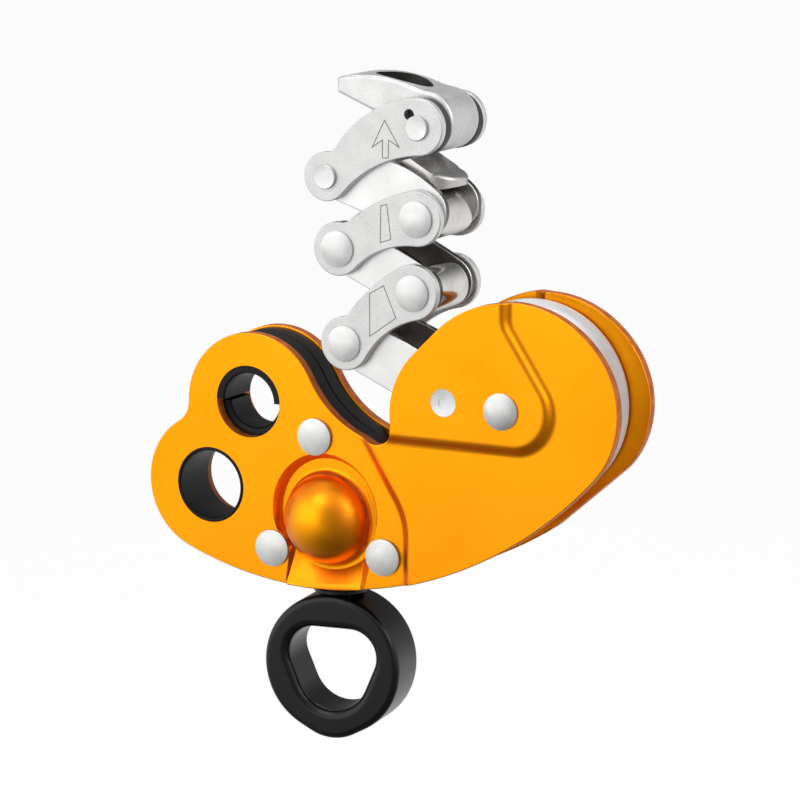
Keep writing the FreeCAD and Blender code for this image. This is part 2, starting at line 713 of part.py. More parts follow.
def on_slope(level):
    # Edges right of the neck where a slope meets a face at this level.
    def wanted(shape, edge):
        box = edge.BoundBox
        if max(abs(box.YMin + float(level)), abs(box.YMax + float(level))) > 1e-4:
            return False
        if box.Center.x < float(dim.swivel_x + dim.neck_low_half):
            return False
        middle = edge.valueAt((edge.FirstParameter + edge.LastParameter) / 2)
        for face in shape.ancestorsOfType(edge, Part.Face):
            steepness = abs(face.normalAt(*face.Surface.parameter(middle)).y)
            if 0.1 < steepness < 0.95:
                return True
        return False
    return wanted


def on_rim(shape, edge):
    # Outer edges of the plate's outline, not those of its holes.
    if -edge.BoundBox.YMax < float(dim.face_level) - 1e-3:
        return False
    middle = edge.valueAt((edge.FirstParameter + edge.LastParameter) / 2)
    for x, z, radius in plate_holes() + spot_faces() + [(dim.swivel_x, dim.dish_z, dim.dish_radius)]:
        if math.hypot(middle.x - float(x), middle.z - float(z)) < float(radius) + 0.01:
            return False
    steepness = [abs(face.normalAt(*face.Surface.parameter(middle)).y)
                 for face in shape.ancestorsOfType(edge, Part.Face)]
    return min(steepness) < 0.01 and max(steepness) > 0.3


def neck_outline():
    left_low, right_low = dim.swivel_x - dim.neck_low_half, dim.swivel_x + dim.neck_low_half
    return [
        (left_low, FAR_LOW + 2),
        (right_low, FAR_LOW + 2),
        (right_low, -dim.belly_drop),
        (dim.swivel_x + dim.neck_top_half, dim.dish_z - dim.dish_radius * 0.6),
        (dim.swivel_x - dim.neck_top_half, dim.dish_z - dim.dish_radius * 0.6),
        (left_low, -dim.belly_drop),
    ]


def rivet_places():
    return [(dim.rivet_one_x, dim.rivet_one_z), (dim.rivet_two_x, dim.rivet_two_z),
            (dim.rivet_three_x, dim.rivet_three_z)]


def spot_faces():
    return [(x, z, dim.rivet_head + dim.rivet_spot) for x, z in rivet_places()]


def plate_holes():
    return [
        (0.0, 0.0, dim.lower_hole_radius),
        (dim.upper_hole_x, dim.upper_hole_z, dim.upper_hole_radius),
        (dim.pulley_x, dim.pulley_z, dim.axle_radius),
        (dim.trunnion_x, dim.trunnion_z, dim.trunnion_radius + dim.pin_fit),
    ] + [(x, z, dim.rivet_shank) for x, z in rivet_places()]


def make_valley(body, label):
    # A concave ring that leads from the dome's flank to the floor of the dish.
    root = 0.5
    inside = dim.dome_radius - root
    sketch = new_sketch(body, label + "_valley", "XY_Plane", dim.dome_z)
    sketch.AttachmentOffset = Placement(Vector(float(dim.swivel_x), 0, float(dim.dome_z)), Rotation())
    bind(sketch, "AttachmentOffset.Base.x", dim.swivel_x)
    bind(sketch, "AttachmentOffset.Base.z", dim.dome_z)
    touch = -(dim.dome_level + dim.valley_rise * dim.valley_share)
    below = -(dim.dish_floor - 0.15)
    draw_polygon(sketch, [
        (inside, below),
        (inside, touch),
        (dim.valley_reach * dim.valley_share, touch, dim.valley_radius),
        (dim.valley_reach, -dim.dish_floor),
        (dim.valley_reach, below),
    ])
    turn(body, sketch)


def make_dome(body, label):
    clear = new_sketch(body, label + "_dish_mouth", "XZ_Plane", dim.face_level)
    draw_circles(clear, [(dim.swivel_x, dim.dish_z, dim.dish_radius)])
    pocket(body, clear)
    dish = new_sketch(body, label + "_dish", "XZ_Plane", dim.face_level)
    draw_circles(dish, [(dim.swivel_x, dim.dish_z, dim.dish_radius)])
    pocket(body, dish, dim.dish_depth, dim.dish_slope, forward=False)
    place_of_dome = (dim.swivel_x, dim.dome_z, dim.dome_level)
    ball(body, label + "_dome", "PartDesign::AdditiveSphere", *place_of_dome, dim.dome_radius)
    make_valley(body, label)
    ball(body, label + "_socket", "PartDesign::SubtractiveSphere", *place_of_dome, dim.socket_radius)
    throat = new_sketch(body, label + "_throat", "XZ_Plane")
    draw_circles(throat, [(dim.swivel_x, dim.dome_z, dim.socket_radius)])
    pocket(body, throat, dim.dome_level)


def make_stem_way(body, label):
    # The boss is open below the dome, where the stem comes out.
    half = dim.stem_shoulder + dim.stem_clear
    way = new_sketch(body, label + "_stem_way", "XZ_Plane")
    draw_polygon(way, frame(dim.swivel_x - half, dim.dome_z - dim.boss_radius - 1,
                            dim.swivel_x + half, dim.dome_z))
    pocket(body, way, half)


def make_plate_holes(body, label):
    holes = new_sketch(body, label + "_holes", "XZ_Plane")
    draw_circles(holes, plate_holes())
    pocket(body, holes)
    spots = new_sketch(body, label + "_spot_faces", "XZ_Plane", dim.face_level - dim.rivet_spot)
    draw_circles(spots, spot_faces())
    pocket(body, spots)


def make_plate(label):
    body = new_body(label)
    slab = new_sketch(body, label + "_blank", "XZ_Plane", dim.plate_level)
    draw_polygon(slab, frame(*BLANK))
    pad(body, slab, dim.plate_wall)
    step = new_sketch(body, label + "_step", "XZ_Plane", dim.face_level)
    draw_polygon(step, step_foot())
    pad(body, step, dim.step_rise, dim.step_slope)
    cover = new_sketch(body, label + "_cover", "XZ_Plane", dim.step_face)
    draw_polygon(cover, cover_foot())
    pad(body, cover, dim.emboss_rise, dim.cover_slope)
    step_back = new_sketch(body, label + "_step_back", "XZ_Plane", dim.plate_level)
    draw_polygon(step_back, step_foot(dim.step_shift))
    pocket(body, step_back, dim.step_rise, dim.step_slope)
    cover_back = new_sketch(body, label + "_cover_back", "XZ_Plane", dim.step_level)
    draw_polygon(cover_back, cover_foot(dim.cover_shift))
    pocket(body, cover_back, dim.emboss_rise, dim.cover_slope)
    boss = new_sketch(body, label + "_boss", "XZ_Plane", dim.plate_level - dim.boss_rise)
    draw_circles(boss, [(dim.swivel_x, dim.dome_z, dim.boss_radius)])
    pad(body, boss, dim.boss_rise)
    neck = new_sketch(body, label + "_neck", "XZ_Plane", dim.face_level)
    draw_polygon(neck, neck_outline())
    pad(body, neck, dim.neck_rise, NECK_SLOPE)
    trim = new_sketch(body, label + "_outline", "XZ_Plane")
    draw_polygon(trim, frame(FAR_LEFT - 1, FAR_LOW - 1, FAR_RIGHT + 1, FAR_HIGH + 1))
    draw_smooth(trim, plate_outline())
    pocket(body, trim)
    for level in (dim.step_face, dim.face_level, dim.cover_face,
                  dim.step_level, dim.plate_level, dim.cover_level):
        round_edges(body, dim.bend_radius, on_slope(level))
    make_dome(body, label)
    make_stem_way(body, label)
    make_plate_holes(body, label)
    round_edges(body, dim.edge_break, on_rim)
    return body


def rear_from(front, label):
    # The rear plate mirrors the front one but has a straighter lower corner.
    copy = mirrored(label + "_blank", front)
    wedge = document.addObject("Part::Box", label + "_corner")
    reach, depth = 60.0, 20.0
    wedge.Length = reach
    wedge.Height = depth
    assign(wedge, "Width", dim.cover_face * 2)
    place(wedge, dim.rear_corner_x - dim.corner_cos * (reach / 2) + dim.corner_sin * depth,
          dim.rear_corner_z - dim.corner_sin * (reach / 2) - dim.corner_cos * depth,
          axis=(0, -1, 0), angle=dim.rear_corner_lean)
    rear = document.addObject("Part::Cut", label)
    rear.Label = label
    rear.Base = copy
    rear.Tool = wedge
    return rear


front_side_plate = make_plate("front_side_plate")
keep(front_side_plate, rear_from(front_side_plate, "rear_side_plate"))


# Plastic spacers between the plates, parted on the middle plane.

SPACER_SIDE_GAP = 0.3
SPACER_FIT = 0.1


def on_parting(shape, edge):
    box = edge.BoundBox
    if max(abs(box.YMin + float(dim.spacer_part)), abs(box.YMax + float(dim.spacer_part))) > 1e-4:
        return False
    middle = edge.valueAt((edge.FirstParameter + edge.LastParameter) / 2)
    outline = [bow for bow in plate_outline(-dim.spacer_inset) if bow.centre is not None]
    return any(abs(math.hypot(middle.x - bow.centre[0], middle.z - bow.centre[1])
                   - float(bow.radius)) < 1e-3 for bow in outline)


def make_spacer(label):
    body = new_body(label)
    blank = new_sketch(body, label + "_blank", "XZ_Plane", dim.spacer_part)
    draw_smooth(blank, plate_outline(-dim.spacer_inset))
    pad(body, blank, dim.plate_level - dim.spacer_part)
    side = new_sketch(body, label + "_side", "XZ_Plane")
    draw_polygon(side, step_foot(-SPACER_SIDE_GAP))
    pocket(body, side)
    seat = new_sketch(body, label + "_seat", "XZ_Plane", dim.plate_level - dim.boss_rise - SPACER_FIT)
    draw_circles(seat, [(dim.swivel_x, dim.dome_z, dim.boss_radius + SPACER_FIT)])
    pocket(body, seat)
    round_edges(body, dim.spacer_chamfer, on_parting, "PartDesign::Chamfer")
    holes = new_sketch(body, label + "_holes", "XZ_Plane")
    draw_circles(holes, [
        (0.0, 0.0, dim.lower_hole_radius),
        (dim.upper_hole_x, dim.upper_hole_z, dim.upper_hole_radius),
        (dim.swivel_x, dim.dome_z, dim.socket_radius),
    ] + [(x, z, dim.rivet_shank) for x, z in rivet_places()])
    pocket(body, holes)
    slot_half = dim.stem_shoulder + dim.stem_clear
    slot = new_sketch(body, label + "_slot", "XZ_Plane")
    draw_polygon(slot, frame(dim.swivel_x - slot_half, -dim.belly_drop - 2,
                             dim.swivel_x + slot_half, dim.dome_z))
    pocket(body, slot, slot_half)
    return body


front_spacer = make_spacer("front_spacer")
keep(front_spacer, mirrored("rear_spacer", front_spacer))


# Liners of the attachment holes.

def make_lower_liner(label, top):
    # One half of the lower liner, its mouth rounded over the whole wall.
    bore, hole, edge = dim.lower_bore_radius, dim.lower_hole_radius, dim.liner_edge
    return turned(label, [
        (bore, 0.0),
        (hole, 0.0),
        (hole, top - edge, edge),
        (hole - edge, top),
        (bore + edge, top, edge),
        (bore, top - edge),
    ])


def make_half_bush(label, top):
    # The upper half of the upper liner.
    bore, edge = dim.upper_bore_radius, dim.liner_edge
    body = new_body(label)
    sketch = new_sketch(body, label + "_profile", "XZ_Plane")
    draw_polygon(sketch, [
        (bore, 0.0),
        (dim.upper_hole_radius, 0.0),
        (dim.upper_hole_radius, top),
        (bore + edge, top, edge),
        (bore, top - edge),
    ])
    half = turn(body, sketch)
    half.Angle = 180
    place(body, dim.upper_hole_x, dim.upper_hole_z, axis=TO_FRONT, angle=90.0)
    return body


def make_saddle(label):
    # Its lower half, thicker at both sides and sunk between the plates.
    body = new_body(label)
    sketch = new_sketch(body, label + "_profile", "XZ_Plane")
    side, low, reach = dim.saddle_side, -dim.saddle_low, dim.saddle_reach
    draw_polygon(sketch, [
        (-reach, -dim.saddle_split, dim.upper_hole_radius),
        (reach, -dim.saddle_split),
        (side, -dim.saddle_split),
        (side, low, -dim.upper_bore_radius),
        (-side, low),
        (-side, -dim.saddle_split),
    ])
    pad(body, sketch, dim.plate_level)

    def on_corner(shape, edge):
        box = edge.BoundBox
        return box.YLength > 1.0 and abs(box.ZMin - float(low)) < 1e-3

    def on_lip(shape, edge):
        box = edge.BoundBox
        return box.YMax < -float(dim.plate_level) + 1e-3 and box.ZLength > 0.05 \
            and box.ZMin > -float(dim.upper_bore_radius) - 0.01

    round_edges(body, dim.saddle_corner, on_corner)
    round_edges(body, dim.saddle_edge, on_lip)
    place(body, dim.upper_hole_x, dim.upper_hole_z)
    return body


keep(make_lower_liner("lower_bush_front", dim.face_level + dim.lower_lip))
keep(mirrored("lower_bush_rear", make_lower_liner("lower_bush_inner", dim.plate_level)))
keep(make_half_bush("upper_bush_front", dim.face_level - dim.upper_sink))
keep(mirrored("upper_bush_rear", make_half_bush("upper_bush_inner", dim.plate_level)))
upper_saddle_front = make_saddle("upper_saddle_front")
keep(upper_saddle_front, mirrored("upper_saddle_rear", upper_saddle_front))


# Rivets and pins.

HEAD_SIDE = 0.45


def rivet(label, shank, head, height, face, x, z, side=HEAD_SIDE):
    # A pin between two domed heads that sit on faces at equal levels.
    cap = height - side
    dome = (head * head + cap * cap) / (cap * 2)
    return turned(label, [
        (0.0, -face - height, dome),
        (head, -face - side),
        (head, -face),
        (shank, -face),
        (shank, face),
        (head, face),
        (head, face + side, dome),
        (0.0, face + height),
    ], x, z)


def flat_rivet(label, shank, head, height, face, x, z, edge=0.2):
    return turned(label, [
        (0.0, -face - height),
        (head - edge, -face - height),
        (head, -face - height + edge),
        (head, -face),
        (shank, -face),
        (shank, face),
        (head, face),
        (head, face + height - edge),
        (head - edge, face + height),
        (0.0, face + height),
    ], x, z)


keep(gathered("body_rivets", [
    rivet(f"body_rivet_{number}", dim.rivet_shank, dim.rivet_head, dim.rivet_height,
          dim.face_level - dim.rivet_spot, x, z, dim.rivet_side)
    for number, (x, z) in enumerate(rivet_places(), start=1)]))


# Ball bearings.

RACE = 1.03
LAND = 0.6
RACE_CHORD = math.sqrt(RACE * RACE - LAND * LAND)
CAGE_GAP = 0.1
CAGE_WEB = 0.28
CAGE_BAND = 1.25


def make_bearing(name, bore, outer, half, ball_radius, count, x, z, upright):
    # Inner ring, outer ring, balls and cage, about Y or, upright, about Z.
    pitch = (bore + outer) / 2
    land, race, chord = ball_radius * LAND, ball_radius * RACE, ball_radius * RACE_CHORD
    inner = turned(name + "_inner_ring", [
        (bore, -half),
        (pitch - land, -half),
        (pitch - land, -chord, -race),
        (pitch - land, chord),
        (pitch - land, half),
        (bore, half),
    ], x, z, upright)
    outside = turned(name + "_outer_ring", [
        (pitch + land, -half),
        (outer, -half),
        (outer, half),
        (pitch + land, half),
        (pitch + land, chord, -race),
        (pitch + land, -chord),
    ], x, z, upright)

    def spread(label, kind, radius, away):
        # One piece for each ball, pointing outwards, away from the bearing's centre.
        pieces = []
        for number in range(count):
            angle = math.pi * (2 * number + 1) / count
            across, along = math.cos(angle), math.sin(angle)
            piece = document.addObject(kind, f"{label}_{number + 1}")
            assign(piece, "Radius", radius)
            if upright:
                place(piece, x + away * across, z, away * along, (-along, across, 0), 90)
            else:
                place(piece, x + away * across, z + away * along, 0, (0, 1, 0), 90 - math.degrees(angle))
            pieces.append(piece)
        return pieces

    balls = gathered(name + "_balls", spread(name + "_ball", "Part::Sphere", ball_radius, pitch))
    web = ball_radius * CAGE_WEB
    band = ball_radius * CAGE_BAND
    pockets = spread(name + "_pocket", "Part::Cylinder", ball_radius + CAGE_GAP, pitch - web - 0.5)
    for bar in pockets:
        assign(bar, "Height", web * 2 + 1.0)
    cage = document.addObject("Part::Cut", name + "_cage")
    cage.Label = name + "_cage"
    cage.Base = tube(name + "_cage_band", pitch - web, pitch + web, -band, band, x, z, upright)
    cage.Tool = gathered(name + "_pockets", pockets)
    return inner, outside, balls, cage


# Pulley.

SEAL_GAP = 0.25


def make_sheave(label):
    rim, half, edge = dim.pulley_radius, dim.pulley_half, dim.rim_edge
    hub, web = dim.pulley_bearing_outer, dim.web_half
    mouth = half - dim.rim_wall
    bed = mouth - 0.2
    flange = dim.web_radius + (half - web) * 0.6
    return turned(label, [
        (hub, -web),
        (dim.web_radius, -web),
        (flange, -half),
        (rim - edge, -half, edge),
        (rim, -half + edge),
        (rim, -mouth),
        (rim - dim.groove_flare, -bed, -dim.groove_radius),
        (rim - dim.groove_flare, bed),
        (rim, mouth),
        (rim, half - edge, edge),
        (rim - edge, half),
        (flange, half),
        (dim.web_radius, web),
        (hub, web),
    ], dim.pulley_x, dim.pulley_z)


def make_seals(label):
    half, outer = dim.pulley_bearing_half, dim.pulley_bearing_outer
    pitch = (dim.axle_radius + outer) / 2
    land = dim.pulley_ball * LAND
    seals = [tube(f"{label}_{number}", pitch - land + SEAL_GAP, pitch + land, low, high,
                  dim.pulley_x, dim.pulley_z)
             for number, (low, high) in enumerate(((half - 0.6, half - 0.1),
                                                   (-half + 0.1, -half + 0.6)), start=1)]
    return gathered(label, seals)


pulley_bearing = make_bearing("sheave_bearing", dim.axle_radius, dim.pulley_bearing_outer,
                              dim.pulley_bearing_half, dim.pulley_ball, 7,
                              dim.pulley_x, dim.pulley_z, upright=False)
axle_spacers = [tube(f"sheave_spacer_{number}", dim.axle_radius, dim.axle_spacer_radius, low, high,
                     dim.pulley_x, dim.pulley_z)
                for number, (low, high) in enumerate((
                    (dim.pulley_bearing_half, dim.cover_level),
                    (-dim.cover_level, -dim.pulley_bearing_half)), start=1)]
keep(rivet("sheave_axle", dim.axle_radius, dim.axle_head, dim.axle_height, dim.cover_face,
           dim.pulley_x, dim.pulley_z))
keep(gathered("sheave_spacers", axle_spacers), make_sheave("sheave"), *pulley_bearing)
keep(make_seals("sheave_bearing_seals"))


# Swivel.

def make_housing(label):
    # A round-ended bar across the plates that fills both domes.
    body = new_body(label)
    radius, reach = dim.housing_radius, dim.dome_level
    shape = new_sketch(body, label + "_profile", "XY_Plane")
    draw_polygon(shape, [
        (0.0, -reach - radius, radius),
        (radius, -reach),
        (radius, reach, radius),
        (0.0, reach + radius),
    ])
    turn(body, shape)
    passage = dim.stem_shoulder + dim.stem_clear
    half = dim.swivel_bearing_half
    relief = (dim.stem_radius + dim.swivel_bearing_outer) / 2 + dim.swivel_ball * 0.5
    bore = new_sketch(body, label + "_bore", "XZ_Plane")
    draw_polygon(bore, [
        (0.0, -radius - 1),
        (passage, -radius - 1),
        (passage, -half - 0.4),
        (relief, -half - 0.4),
        (relief, -half),
        (dim.swivel_bearing_outer, -half),
        (dim.swivel_bearing_outer, radius + 1),
        (0.0, radius + 1),
    ])
    turn(body, bore, "PartDesign::Groove")
    place(body, dim.swivel_x, dim.dome_z)
    return body


def make_stem(label):
    hole_top = dim.eye_hole_z + dim.eye_hole_corner
    shoulder_low = dim.collar_top - dim.collar_height
    nut_low = dim.dome_z + dim.swivel_bearing_half
    return turned(label, [
        (0.0, hole_top - dim.stem_end_rise),
        (dim.stem_radius - 1.1, hole_top - dim.stem_end_rise),
        (dim.stem_radius, hole_top),
        (dim.stem_radius, shoulder_low),
        (dim.stem_shoulder, shoulder_low),
        (dim.stem_shoulder, dim.dome_z - dim.swivel_bearing_half),
        (dim.stem_radius, dim.dome_z - dim.swivel_bearing_half),
        (dim.stem_radius, nut_low + dim.nut_height + 0.5),
        (0.0, nut_low + dim.nut_height + 0.5),
    ], dim.swivel_x, upright=True)


def make_collar(label):
    low, high, edge = dim.collar_top - dim.collar_height, dim.collar_top, 0.2
    return turned(label, [
        (dim.stem_shoulder, low),
        (dim.collar_radius - edge, low),
        (dim.collar_radius, low + edge),
        (dim.collar_radius, high - edge),
        (dim.collar_radius - edge, high),
        (dim.stem_shoulder, high),
    ], dim.swivel_x, upright=True)


def make_nut(label):
    bar = document.addObject("Part::Prism", label + "_bar")
    bar.Polygon = 6
    assign(bar, "Circumradius", dim.nut_radius / math.cos(math.pi / 6))
    assign(bar, "Height", dim.nut_height)
    place(bar, dim.swivel_x, dim.dome_z + dim.swivel_bearing_half)
    bore = document.addObject("Part::Cylinder", label + "_bore")
    assign(bore, "Radius", dim.stem_radius)
    assign(bore, "Height", dim.nut_height)
    place(bore, dim.swivel_x, dim.dome_z + dim.swivel_bearing_half)
    nut = document.addObject("Part::Cut", label)
    nut.Label = label
    nut.Base = bar
    nut.Tool = bore
    return nut


def make_eye(label):
    body = new_body(label)
    sketch = new_sketch(body, label + "_outline", "XZ_Plane")
    draw_smooth(sketch, [
        Bow(dim.eye_foot_radius, 1, 0.0, dim.eye_foot_z, straight=True),
        Bow(dim.eye_crown_radius, 1, 0.0, dim.eye_top - dim.eye_crown_radius, straight=True),
    ])
    draw_smooth(sketch, [
        Bow(dim.eye_hole_radius, 1, 0.0, dim.eye_hole_low_z, straight=True),
        Bow(dim.eye_hole_corner, 1, dim.eye_hole_x, dim.eye_hole_z, straight=True),
        Bow(dim.eye_hole_corner, 1, -dim.eye_hole_x, dim.eye_hole_z, straight=True),
    ])
    pad(body, sketch, dim.eye_half * 2, both_ways=True)
    reach = float(dim.eye_hole_x + dim.eye_hole_corner) + 0.05
    low = float(dim.eye_hole_low_z - dim.eye_hole_radius) - 0.05

    def on_face(shape, edge):
        return edge.BoundBox.YLength < 1e-4

    def of_hole(shape, edge):
        box = edge.BoundBox
        return on_face(shape, edge) and max(abs(box.XMin), abs(box.XMax)) < reach and box.ZMin > low \
            and box.ZMax < float(dim.eye_hole_z + dim.eye_hole_corner) + 0.05

    def of_outside(shape, edge):
        return on_face(shape, edge) and not of_hole(shape, edge)

    round_edges(body, dim.eye_edge, of_outside)
    round_edges(body, dim.eye_hole_edge, of_hole)
    bore = new_sketch(body, label + "_bore", "XY_Plane", dim.eye_hole_z)
    draw_circles(bore, [(0.0, 0.0, dim.stem_radius)])
    pocket(body, bore)
    place(body, dim.swivel_x, axis=(0, 0, 1), angle=dim.eye_turn)
    return body


swivel_bearing = make_bearing("swivel_bearing", dim.stem_radius, dim.swivel_bearing_outer,
                              dim.swivel_bearing_half, dim.swivel_ball, 9,
                              dim.swivel_x, dim.dome_z, upright=True)
keep(make_housing("swivel_housing"), *swivel_bearing, make_stem("swivel_stem"))
keep(make_collar("swivel_collar"), make_nut("swivel_nut"), make_eye("swivel_eye"))


# Chain. Each link or ring is drawn from its left pin with its right pin on +X.

def edges_at(level):
    # Outline edges of a flat plate at this level, not those of its round holes.
    def wanted(shape, edge):
        box = edge.BoundBox
        if max(abs(box.YMin + float(level)), abs(box.YMax + float(level))) > 1e-4:
            return False
        return box.DiagonalLength > float(dim.spigot_radius) * 2.9 or not edge.isClosed()
    return wanted


def make_flat(label, level, wall, outline, holes, x, z, axis, angle):
    body = new_body(label)
    sketch = new_sketch(body, label + "_outline", "XZ_Plane", level)
    draw_smooth(sketch, outline)
    pad(body, sketch, wall)
    for side in (level + wall, level):
        round_edges(body, dim.chain_edge, edges_at(side))
    bores = new_sketch(body, label + "_bores", "XZ_Plane")
    draw_circles(bores, holes)
    pocket(body, bores)
    place(body, x, z, axis=axis, angle=angle)
    return body


def link_plate(label, pitch, left, right, crown, hollow, holes, x, z, lean):
    shoulder = left + dim.shoulder_radius
    outline = [
        Bow(left, 1, 0.0, 0.0),
        Bow(hollow, -1, side=-1),
        Bow(right, 1, pitch, dim.link_lift),
        Bow(crown, 1, side=1),
        Bow(dim.shoulder_radius, -1, shoulder * dim.shoulder_cos, shoulder * dim.shoulder_sin,
            free_x=True),
    ]
    bores = [(0.0, 0.0, dim.pin_radius), (pitch, 0.0, dim.pin_radius)] + holes
    return make_flat(label, dim.link_level, dim.link_wall, outline, bores, x, z, (0, -1, 0), lean)


def ring_plate(label, pitch, left, right, crown, holes, x, z, drop):
    # left and right are (radius, lift) of the end circles.
    outline = [
        Bow(left[0], 1, 0.0, left[1], straight=True),
        Bow(right[0], 1, pitch, right[1]),
        Bow(crown, 1, side=1),
    ]
    return make_flat(label, dim.ring_level, dim.ring_wall, outline, holes, x, z, (0, 1, 0), drop)


def barrel(label, outer, x, z):
    bore, spigot = dim.pin_radius + dim.pin_fit, dim.spigot_radius
    inner, end = dim.ring_level, dim.ring_face + dim.pin_fit
    return turned(label, [
        (bore, -end),
        (spigot, -end),
        (spigot, -inner),
        (outer, -inner),
        (outer, inner),
        (spigot, inner),
        (spigot, end),
        (bore, end),
    ], x, z)


def lower_link(name, x, z, far_x, far_z, lean):
    front = link_plate(name + "_front_plate", dim.link_pitch, dim.link_left_lobe,
                       dim.link_right_lobe, dim.link_crown, dim.link_hollow, [], x, z, lean)
    keep(front, mirrored(name + "_rear_plate", front))
    for side, pin_x, pin_z in (("left", x, z), ("right", far_x, far_z)):
        keep(rivet(f"{name}_{side}_pin", dim.pin_radius, dim.head_radius, dim.head_height,
                   dim.link_face, pin_x, pin_z))


def lower_ring(name, pitch, holes, x, z, drop):
    ends = (dim.ring_end_radius, dim.ring_lift)
    front = ring_plate(name + "_front_plate", pitch, ends, ends, dim.ring_crown, holes, x, z, drop)
    keep(front, mirrored(name + "_rear_plate", front))


lower_ring("ring_one", dim.ring_one_pitch,
           [(0.0, 0.0, dim.spigot_radius), (dim.ring_one_pitch, 0.0, dim.trunnion_radius)],
           dim.c_left_x, dim.c_left_z, dim.ring_one_drop)
keep(barrel("ring_one_barrel", dim.barrel_left_radius, dim.c_left_x, dim.c_left_z))
DIMPLE_DEPTH = 0.15
trunnion = turned("ring_one_trunnion", [
    (0.0, dim.ring_level),
    (dim.trunnion_radius, dim.ring_level),
    (dim.trunnion_radius, dim.cover_face),
    (dim.trunnion_dimple, dim.cover_face),
    (dim.trunnion_dimple, dim.cover_face - DIMPLE_DEPTH),
    (0.0, dim.cover_face - DIMPLE_DEPTH),
], dim.trunnion_x, dim.trunnion_z)
keep(gathered("ring_one_trunnions", [trunnion, mirrored("ring_one_rear_trunnion", trunnion)]))

lower_link("link_c", dim.c_left_x, dim.c_left_z, dim.c_right_x, dim.c_right_z, dim.link_c_lean)
lower_ring("ring_two", dim.ring_two_pitch,
           [(0.0, 0.0, dim.spigot_radius), (dim.ring_two_pitch, 0.0, dim.spigot_radius)],
           dim.b_left_x, dim.b_left_z, dim.ring_two_drop)
keep(barrel("ring_two_left_barrel", dim.barrel_left_radius, dim.b_left_x, dim.b_left_z))
keep(barrel("ring_two_right_barrel", dim.barrel_right_radius, dim.c_right_x, dim.c_right_z))
lower_link("link_b", dim.b_left_x, dim.b_left_z, dim.b_right_x, dim.b_right_z, dim.link_b_lean)

ring_three_front = ring_plate("ring_three_front_plate", dim.ring_three_pitch,
                              (dim.top_ring_left_radius, 0.0),
                              (dim.top_ring_right_radius, dim.top_ring_lift), dim.top_ring_crown,
                              [(0.0, 0.0, dim.spigot_radius),
                               (dim.ring_three_pitch, 0.0, dim.spigot_radius)],
                              dim.a_left_x, dim.a_left_z, dim.ring_three_drop)
keep(ring_three_front, mirrored("ring_three_rear_plate", ring_three_front))
keep(barrel("ring_three_left_barrel", dim.barrel_left_radius, dim.a_left_x, dim.a_left_z))
keep(barrel("ring_three_right_barrel", dim.barrel_right_radius, dim.b_right_x, dim.b_right_z))


def make_guide(label):
    # A forged tongue between the plates of the top ring, over its right roller.
    body = new_body(label)
    low, high = dim.guide_low, dim.guide_high
    tip, root, lip = dim.guide_tip, dim.guide_root, dim.guide_lip
    wall, half = dim.guide_wall, dim.ring_level
    sketch = new_sketch(body, label + "_side", "XZ_Plane")
    draw_polygon(sketch, [
        (-root, low + lip),
        (-root * 0.5, low),
        (tip * 0.6, low),
        (tip, low + lip * 0.4),
        (tip, low + wall),
        (tip * 0.25, low + wall * 1.6),
        (-root * 0.5, high),
        (-root, high - lip),
    ])
    pad(body, sketch, half * 2, both_ways=True)

    def on_nose(shape, edge):
        box = edge.BoundBox
        return box.YLength < 1e-4 and box.XMin > float(tip) - 0.01

    def on_crest(shape, edge):
        box = edge.BoundBox
        return box.ZMin > float(low + wall) - 0.01 and box.YLength > 1.0 \
            and box.XMin > -float(root) + 0.1

    round_edges(body, dim.guide_nose, on_nose)
    round_edges(body, dim.guide_edge, on_crest)
    place(body, dim.b_right_x, dim.b_right_z)
    return body


keep(make_guide("ring_three_rope_guide"))

lock_holes = [(dim.top_link_pitch + dim.lock_hole_x, dim.lock_hole_z, dim.lock_hole_radius)]
top_front = link_plate("link_a_front_plate", dim.top_link_pitch, dim.top_link_left_lobe,
                       dim.top_link_right_lobe, dim.top_link_crown, dim.top_link_hollow, lock_holes,
                       dim.a_left_x, dim.a_left_z, dim.top_link_lean)
keep(top_front, mirrored("link_a_rear_plate", top_front))
for side, pin_x, pin_z in (("left", dim.a_left_x, dim.a_left_z),
                           ("right", dim.a_right_x, dim.a_right_z)):
    keep(flat_rivet(f"link_a_{side}_pin", dim.pin_radius, dim.flat_head_radius,
                    dim.flat_head_height, dim.link_face, pin_x, pin_z))


# Release lever.

